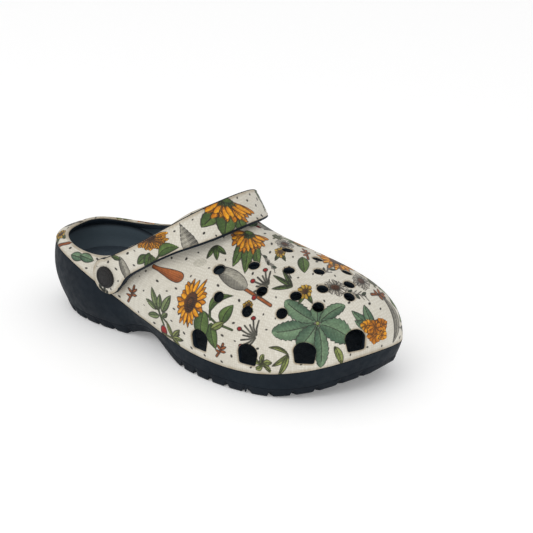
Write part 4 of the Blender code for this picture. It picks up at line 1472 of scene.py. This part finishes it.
def finder(points):
    """Tree that finds the points near a place."""
    tree = KDTree(len(points))
    for number, point in enumerate(points):
        tree.insert(point, number)
    tree.balance()
    return tree


def to_line(points, line):
    """Distance from points to the nearest of a line's points, up to EDGE_REACH."""
    tree = finder(line)
    gaps = np.full(len(points), EDGE_REACH)
    low, high = line.min(0) - EDGE_REACH, line.max(0) + EDGE_REACH
    for number in np.where(((points > low) & (points < high)).all(1))[0]:
        gaps[number] = min(EDGE_REACH, tree.find(points[number])[2])
    return gaps


# Within SPECKLE_ROOM of a seed, every vertex is at least SPECKLE_GAP from the motifs
SPECKLE_SEED = 11
SPECKLE_TRIES = 9000
SPECKLE_ROOM = 2.6
SPECKLE_GAP = 1.4
SCATTER_SEED = 5
SCATTER_TRIES = 2600
SCATTER_CLOSENESS = 0.92    # of two motifs' places, as a share of their rooms together


def speckle(canvas, allowed, count, spacing):
    """Scatters small dark seeds over bare places."""
    order = np.random.default_rng(SPECKLE_SEED).permutation(np.where(allowed)[0])
    kept = np.zeros((0, 3))
    tree = finder(canvas.points)
    for vertex in order[:SPECKLE_TRIES]:
        if len(kept) == count:
            break
        point = canvas.points[vertex]
        if len(kept) and ((kept - point) ** 2).sum(1).min() < spacing ** 2:
            continue
        if max(canvas.mask[number] for _, number, _ in tree.find_range(point, SPECKLE_ROOM)) > -SPECKLE_GAP:
            continue
        kept = np.vstack([kept, point])
        brush = Brush(canvas, point, 37.0 * len(kept), reach=4.0, room=0.0)
        size = 0.58 + 0.18 * math.sin(len(kept) * 1.9)
        brush.disc(0, 0, size * 1.05, size * 0.7, SPECK)


SPREAD_LEAVES = ((-17, 5, 9), (-11, -10, 8), (3, -16, 8), (16, -4, 9), (11, 11, 8), (-5, 14, 7))

# Motifs for bare places, as (room, what draws it)
FILLERS = (
    (15.0, lambda b: sunflower(b, 13.0)), (15.5, lambda b: hanging_sunflower(b, 9.5)),
    (14.5, lambda b: rosette(b, SPREAD_LEAVES)),
    (12.5, lambda b: sprig(b, 11.0, GREEN)), (12.0, lambda b: marigold(b, 8.0)),
    (10.5, lambda b: berries(b, 10.0, 120.0)), (11.0, lambda b: tool_handle(b, 9.5)),
    (9.5, lambda b: sprig(b, 8.5, BLUE_GREEN)), (9.0, lambda b: needles(b, 8.0, 40.0)),
    (8.5, lambda b: daisy(b, 6.5)), (8.0, lambda b: squiggle(b, 7.0)), (6.5, lambda b: twig(b, 5.0)),
    (6.0, lambda b: little_flower(b, 4.0)), (5.5, lambda b: sprig(b, 4.8, PALE_GREEN, 2, 0.4)))


def scatter(canvas, allowed, edge_room=0.45, groups=(FILLERS[:5], FILLERS[5:9], FILLERS[9:])):
    """Fills bare places with motifs, the largest first, each clear of the others."""
    order = np.random.default_rng(SCATTER_SEED).permutation(np.where(allowed)[0])[:SCATTER_TRIES]
    turn = 17.0
    for group in groups:
        fitted = True
        while fitted:
            fitted = False
            for number, (room, draw) in enumerate(group):
                spots = np.array(canvas.spots)
                gaps = np.linalg.norm(canvas.points[order, None] - spots[None, :, :3], axis=2)
                clear = (gaps / (spots[:, 3] + room)).min(1) > SCATTER_CLOSENESS
                free = order[clear & (canvas.edge[order] >= min(room * edge_room, 6.0))]
                if len(free):
                    turn = (turn * 7.3 + 41 * number) % 90 - 45
                    draw(Brush(canvas, canvas.points[free[0]], turn, room=room))
                    fitted = True


def paint_upper(shape, holes):
    """Picture on the upper."""
    canvas = Canvas(shape)

    def at(point, turn=0.0, squash=(1.0, 1.0), reach=30.0, room=9.0):
        return Brush(canvas, point, turn, squash, reach, room)

    big = at((257, -33, 53), reach=44, room=24)
    rosette(big, ((-30, -4, 13), (-21, 16, 12), (1, 14, 9), (18, 13, 9), (22, -9, 16), (-13, -15, 13),
                  (2, -27, 10)))
    flower = at((182, -56, 41), room=14)
    flower.stroke([(-7, 9), (0, 6), (7, 0), (17, -3.5)], 1.2, GREEN)
    flower.stroke([(2.7, 8), (3.2, 2)], 1.1, GREEN)
    flower.leaf((2.5, 7), (15, 18.5), 5.2, GREEN, 4.0)
    flower.leaf((10.5, 0), (16, 12.5), 7.0, GREEN, 1.0)
    flower.leaf((4, 0), (6, -17), 7.5, GREEN, -1.0)
    flower.leaf((4, -4), (12, 1), 4.5, PALE_GREEN)
    flower.leaf((-1, 7), (-3, -12), 10.0, GREEN, -1.0)
    sunflower(at((167, -53, 50), -20, (0.74, 1.36)), 12.8)
    hanging_sunflower(at((178, -7, 83), -8, room=18, reach=36), 10.2)
    tips = at((166, -26, 79), room=8)
    for tip, width in (((-6, -5), 3.0), ((1, -7), 3.6), ((7, -4), 3.2)):
        tips.leaf((0, 3), tip, width, GREEN)
    mesh_brush(at((188, -37, 68), reach=40, room=17), 9.6)
    tool_handle(at((140, -47, 62), room=13), 9.8)
    left = at((132, -49, 38), room=13)
    left.stroke([(6, -11), (3.5, -5), (2, 0)], 1.1, GREEN)
    left.stroke([(3.5, -5), (9, -9)], 1.0, GREEN)
    for base, tip, width in (((2, -3), (-2.5, 10.5), 4.2), ((3, -2), (3.5, 8.5), 3.4),
                             ((5, -3), (10.5, 10.5), 4.4), ((1, -3), (-6.5, 1.5), 3.6),
                             ((3, -6), (-5.5, -9.5), 4.0), ((5, -6), (9, -2), 3.0)):
        left.leaf(base, tip, width, SPRAY)
    hip = at((141, -51, 20), room=4)
    hip.disc(0, 1.5, 2.1, 3.4, RED)
    pale = at((151, -53, 22), room=8)
    pale.stroke([(-7, -3), (0, -2), (4, 3)], 1.0, PALE_GREEN)
    for tip in ((-4.5, 7), (4.5, 6.5), (7, 1), (5, -5)):
        pale.leaf((-0.5, -1.5), tip, 2.8, PALE_GREEN)
    twig(at((105, -43, 36), -8), 6.2)
    twig(at((197, -58, 26), -10, room=6), 5.0)
    berries(at((216, -32, 68), room=10), 11.5, 150)
    lancets = at((222, -27, 70), room=8)
    for tip, width in (((-5, 5.5), 2.6), ((1, 9), 2.6), ((-6, -3), 2.4)):
        lancets.leaf((7.5, -3), tip, width, LANCET)
    needles(at((218, -13, 75), room=13), 11, -38)
    needles(at((203, -17, 77), room=8), 7, -50, 0.3)
    leaf = at((221, -3, 76), room=7)
    leaf.leaf((0, 5), (1, -6), 7.5, GREEN)
    little_flower(at((239, -23, 67), room=8), 5.0)
    daisy(at((251, -7, 68), room=10, squash=(1.3, 0.8)), 6.8)
    needles(at((262, 0, 64), room=9), 7, 5)
    little_flower(at((210, -46, 57), 10, room=5), 3.6)
    berries(at((223, -53, 41), room=11), 12.5, 150)
    squiggle(at((229, -55, 24), room=8), 6.8)
    thin = at((244, -49, 33), room=11)
    for tip, width, bend in (((-11, 4), 2.6, -1.4), ((-9, -8), 3.0, 0.8), ((-5, -14), 3.4, 0.8)):
        thin.leaf((2, 1), tip, width, PALE_GREEN, bend)
    pod = at((270, -30, 33), room=7)
    pod.leaf((-1, 6.5), (4, -6), 4.6, PALE_GREEN, 0.6)
    marigold(at((279, -3, 46), -10, room=14), 9.4)
    blade = at((280, 15, 46), room=12)
    blade.leaf((-2, 16), (4, -13), 5.5, METAL, 3.0)
    heel = at((48, -38, 49), room=9)
    heel.leaf((-5, 2), (5, -3), 6.0, BLUE_GREEN)
    heel.leaf((2, 0), (12, -6), 6.0, BLUE_GREEN)
    stick = at((27, -32, 51), room=6)
    stick.stroke([(-6, 1), (6, -2)], 1.8, WOOD)
    smudge = at((162, -37, 72), room=8)
    smudge.disc(0, 0, 4.4, 2.6, SMUDGE, 1.2, False)

    station, side = canvas.points[:, 0], canvas.points[:, 1]
    to_foot = canvas.points[:, 2] - sole_height(np.arctan2(side, station - POLE))
    canvas.edge = np.minimum(to_foot, EDGE_REACH)
    for hole in holes:
        near = np.where(np.linalg.norm(canvas.points - hole.centre, axis=1) < 15)[0]
        away = np.maximum(hole.nearest(hole.flat(canvas.points[near]))[0], 0)
        canvas.edge[near] = np.minimum(canvas.edge[near], away * 2.2)
    # Painted shade: distance from the strap's lower edge joins the edge distance, so the brown tint shades
    # the band under the strap
    strap_shade = to_line(canvas.points, strap_edge_points(0.0, 0.0, False)) * 0.8
    canvas.edge = np.minimum(canvas.edge, strap_shade)
    rim = shape.facts[:, 2] < 0
    canvas.edge[rim & (canvas.edge > 1)] = 0.8
    scatter(canvas, (canvas.normals @ PRINT_FRONT < 0.14) & ~rim)
    scatter(canvas, (canvas.normals @ PRINT_FRONT < 0.5) & ~rim, groups=(FILLERS[8:],))
    speckle(canvas, ~rim & (to_foot > 3), 150, 8.5)
    return canvas


def paint_strap(shape):
    """Picture on the strap."""
    canvas = Canvas(shape)

    def at(point, turn=0.0, squash=(1.0, 1.0), reach=24.0, room=8.0):
        return Brush(canvas, point, turn, squash, reach, room)

    hanging_sunflower(at((160, -11, 102), -4, (1.5, 0.95), 44, 22), 11.2)
    cone(at((155, -41, 88), 8, room=11), 10.0)
    half = at((130, -51, 85), 25, (1.35, 0.8))
    half.ring_of(13, 1.5, 9.5, 2.8, PETAL, -185, 5, belly=0.6)
    half.disc(0, 0.5, 3.0, 2.0, SEEDS, 1.2)
    low = at((124, -51, 70), room=8)
    low.leaf((2, 3), (-5, -6), 4.6, GREEN)
    low.leaf((4, 5), (2, -9), 5.6, GREEN)
    low.leaf((5, 4), (9, -5), 4.0, GREEN)
    side_leaf = at((144, -49, 80), room=8)
    side_leaf.leaf((-7, -5), (7, 2), 7.0, GREEN, 2.6)
    side_leaf.stroke([(-7, -5), (-10, -9)], 1.1, GREEN)
    tool = at((104, -48, 55), room=8)
    tool.leaf((-3.5, 8.0), (3.5, -8.0), 6.6, METAL, 0.0, 0.5, rib=False)
    sprig(at((82, -47, 33), 60, room=6), 4.6, NEEDLE, 2)
    little = at((96, -48, 62), room=5)
    little.leaf((-3, 1), (3, -1), 3.4, GREEN)
    borders = [strap_edge_points(0.4, STRAP_THICKNESS, high) for high in (False, True)]
    canvas.edge = to_line(canvas.points, np.concatenate(borders))
    scatter(canvas, (canvas.normals @ PRINT_FRONT < 0.1) & (canvas.edge > 3.5), 0.0)
    speckle(canvas, canvas.edge > 2, 34, 8.0)
    return canvas


# ---------------------------------------------------------------- floor, light, camera
FLOOR_HALF = 4.0
FLOOR_DROP = 0.0004    # so that the tread's lowest faces don't lie in the floor's
FLOOR_TONE = 0.9
FLOOR_GLOW = 0.16
SKY = 0.84

# Name, place in metres, width in metres and power in watts
LIGHTS = (("key", (0.3, -1.5, 1.5), 1.7, 11), ("fill", (1.5, -1.0, 0.5), 1.4, 3))


def add_stage():
    """Plain pale floor under the shoe."""
    mesh = bpy.data.meshes.new("floor")
    corners = ((-1, -1), (1, -1), (1, 1), (-1, 1))
    mesh.from_pydata([(x * FLOOR_HALF, y * FLOOR_HALF, 0) for x, y in corners], [], [(0, 1, 2, 3)])
    floor = bpy.data.objects.new("floor", mesh)
    bpy.context.scene.collection.objects.link(floor)
    floor.location.z = -FLOOR_DROP
    paper = bpy.data.materials.new("floor_paper")
    paper.use_nodes = True
    shader = paper.node_tree.nodes["Principled BSDF"]
    shader.inputs["Base Color"].default_value = (FLOOR_TONE, FLOOR_TONE, FLOOR_TONE, 1)
    shader.inputs["Roughness"].default_value = 0.9
    shader.inputs["Emission Color"].default_value = (1, 1, 1, 1)
    shader.inputs["Emission Strength"].default_value = FLOOR_GLOW
    mesh.materials.append(paper)


def add_light(name, place_at, size, power):
    """Soft square light that faces the shoe."""
    aim = Vector((0, 0, 0.04))
    data = bpy.data.lights.new(name, "AREA")
    data.size = size
    data.energy = power
    light = bpy.data.objects.new(name, data)
    bpy.context.scene.collection.objects.link(light)
    light.location = place_at
    light.rotation_euler = (Vector(place_at) - aim).to_track_quat("Z", "Y").to_euler()


# The photograph's viewing angle
CAMERA_AZIMUTH = math.radians(39.33)
CAMERA_ELEVATION = math.radians(21.70)
CAMERA_DISTANCE = 1.2147
CAMERA_TARGET = (0.04593, 0.003, 0.0643)
CAMERA_LENS = 123.26
SENSOR_WIDTH = 36


def add_camera():
    """Camera at the toe's outer side, looking down a little, with a long lens."""
    data = bpy.data.cameras.new("camera")
    data.lens = CAMERA_LENS
    data.sensor_width = SENSOR_WIDTH
    camera = bpy.data.objects.new("camera", data)
    bpy.context.scene.collection.objects.link(camera)
    back = Vector((math.sin(CAMERA_AZIMUTH) * math.cos(CAMERA_ELEVATION),
                   -math.cos(CAMERA_AZIMUTH) * math.cos(CAMERA_ELEVATION), math.sin(CAMERA_ELEVATION)))
    camera.location = Vector(CAMERA_TARGET) + back * CAMERA_DISTANCE
    camera.rotation_euler = back.to_track_quat("Z", "Y").to_euler()
    bpy.context.scene.camera = camera


def add_world():
    """Even white surroundings."""
    world = bpy.data.worlds.new("studio")
    world.use_nodes = True
    sky = world.node_tree.nodes["Background"]
    sky.inputs["Color"].default_value = (1, 1, 1, 1)
    sky.inputs["Strength"].default_value = SKY
    bpy.context.scene.world = world


# ---------------------------------------------------------------- assembly
def add_fact(mesh, name, values):
    """Stores a number on each vertex."""
    mesh.attributes.new(name, "FLOAT", "POINT").data.foreach_set("value", values.astype(np.float32))


def add_print(mesh, canvas):
    """Stores the printed picture on the mesh's vertices."""
    colours = np.column_stack([canvas.fill, np.ones(len(mesh.vertices))]).astype(np.float32)
    fill = mesh.attributes.new("print_fill", "FLOAT_COLOR", "POINT")
    fill.data.foreach_set("color", colours.ravel())
    for name, values in (("print_mask", canvas.mask), ("print_seam", canvas.seam),
                         ("print_edge", canvas.edge)):
        add_fact(mesh, name, values)


def build_shoe():
    """Every visible piece of the shoe."""
    holes = all_holes()
    skin_look = printed_skin_look("printed_skin_upper")
    foam = foam_look("navy_foam_moulded", NAVY, painted_light=LINING_PAINTED_LIGHT)
    tread = foam_look("tread_rubber_moulded", TREAD_NAVY, (0.55, 0.75), 900, 0.0001, 0.06)
    bed = foam_look("insole_foam", BED_NAVY, (0.6, 0.8), 700, 0.0002, 0.04)
    cap_look = plastic_look("rivet_charcoal", CHARCOAL, (0.38, 0.55))
    washer_look = plastic_look("washer_grey", WASHER_GREY, (0.3, 0.45))

    skin = upper_skin_shape(holes)
    strap_skin = strap_skin_shape()
    skin_mesh = skin.mesh("upper_printed_skin")
    strap_mesh = strap_skin.mesh("strap_printed_skin")
    add_print(skin_mesh, paint_upper(skin, holes))
    add_print(strap_mesh, paint_strap(strap_skin))
    add_piece("upper_printed_skin", skin_mesh, skin_look, "shoe", ["upper_print_cover"])
    add_piece("strap_printed_skin", strap_mesh, skin_look, "strap", ["strap_print_cover"])
    foam_shape = upper_foam_shape(holes)
    foam_mesh = foam_shape.mesh("upper_foam")
    a, v, depth = foam_shape.facts.T
    # Painted light: the inner face below the rim is marked for the paler painted lining, where the inside
    # is in shade
    below_rim = 1 - smooth(0.84, 0.97, v / brow(a))
    add_fact(foam_mesh, "lining_painted_light", np.where(depth > SKIN_THICKNESS, below_rim, 0.0))
    add_piece("upper_foam", foam_mesh, foam, "shoe", ["upper_shell"])
    cup = cup_shape()
    cup_mesh = cup.mesh("sole_cup")
    add_fact(cup_mesh, "lining_painted_light", cup.facts[:, 2])
    add_piece("sole_cup", cup_mesh, foam, "shoe", ["midsole"])
    strap_core = strap_core_shape().mesh("strap_foam")
    add_piece("strap_foam", strap_core, foam, "strap", ["strap_core"])
    add_piece("tread_sole", tread_shape().mesh("tread_sole"), tread, "shoe", ["outsole"])
    add_piece("insole", insole_shape().mesh("insole"), bed, "shoe", ["footbed"])
    for side_name, sign in (("lateral", -1), ("medial", 1)):
        for kind, node, profile, look, slot in (
                ("rivet_head", "rivet_cap", cap_profile(), cap_look, "rivet_plastic"),
                ("rivet_spacer", "strap_washer", washer_profile(), washer_look, "washer_plastic"),
                ("rivet_back", "rivet_socket", socket_profile(), cap_look, "rivet_plastic")):
            name = f"{kind}_{side_name}"
            mesh = turned_shape(profile, sign).mesh(name)
            add_piece(name, mesh, look, "shoe", [f"{node}_{side_name}"])


build_shoe()
add_stage()
add_world()
for light in LIGHTS:
    add_light(*light)
bpy.context.scene.view_settings.view_transform = "Standard"
add_camera()
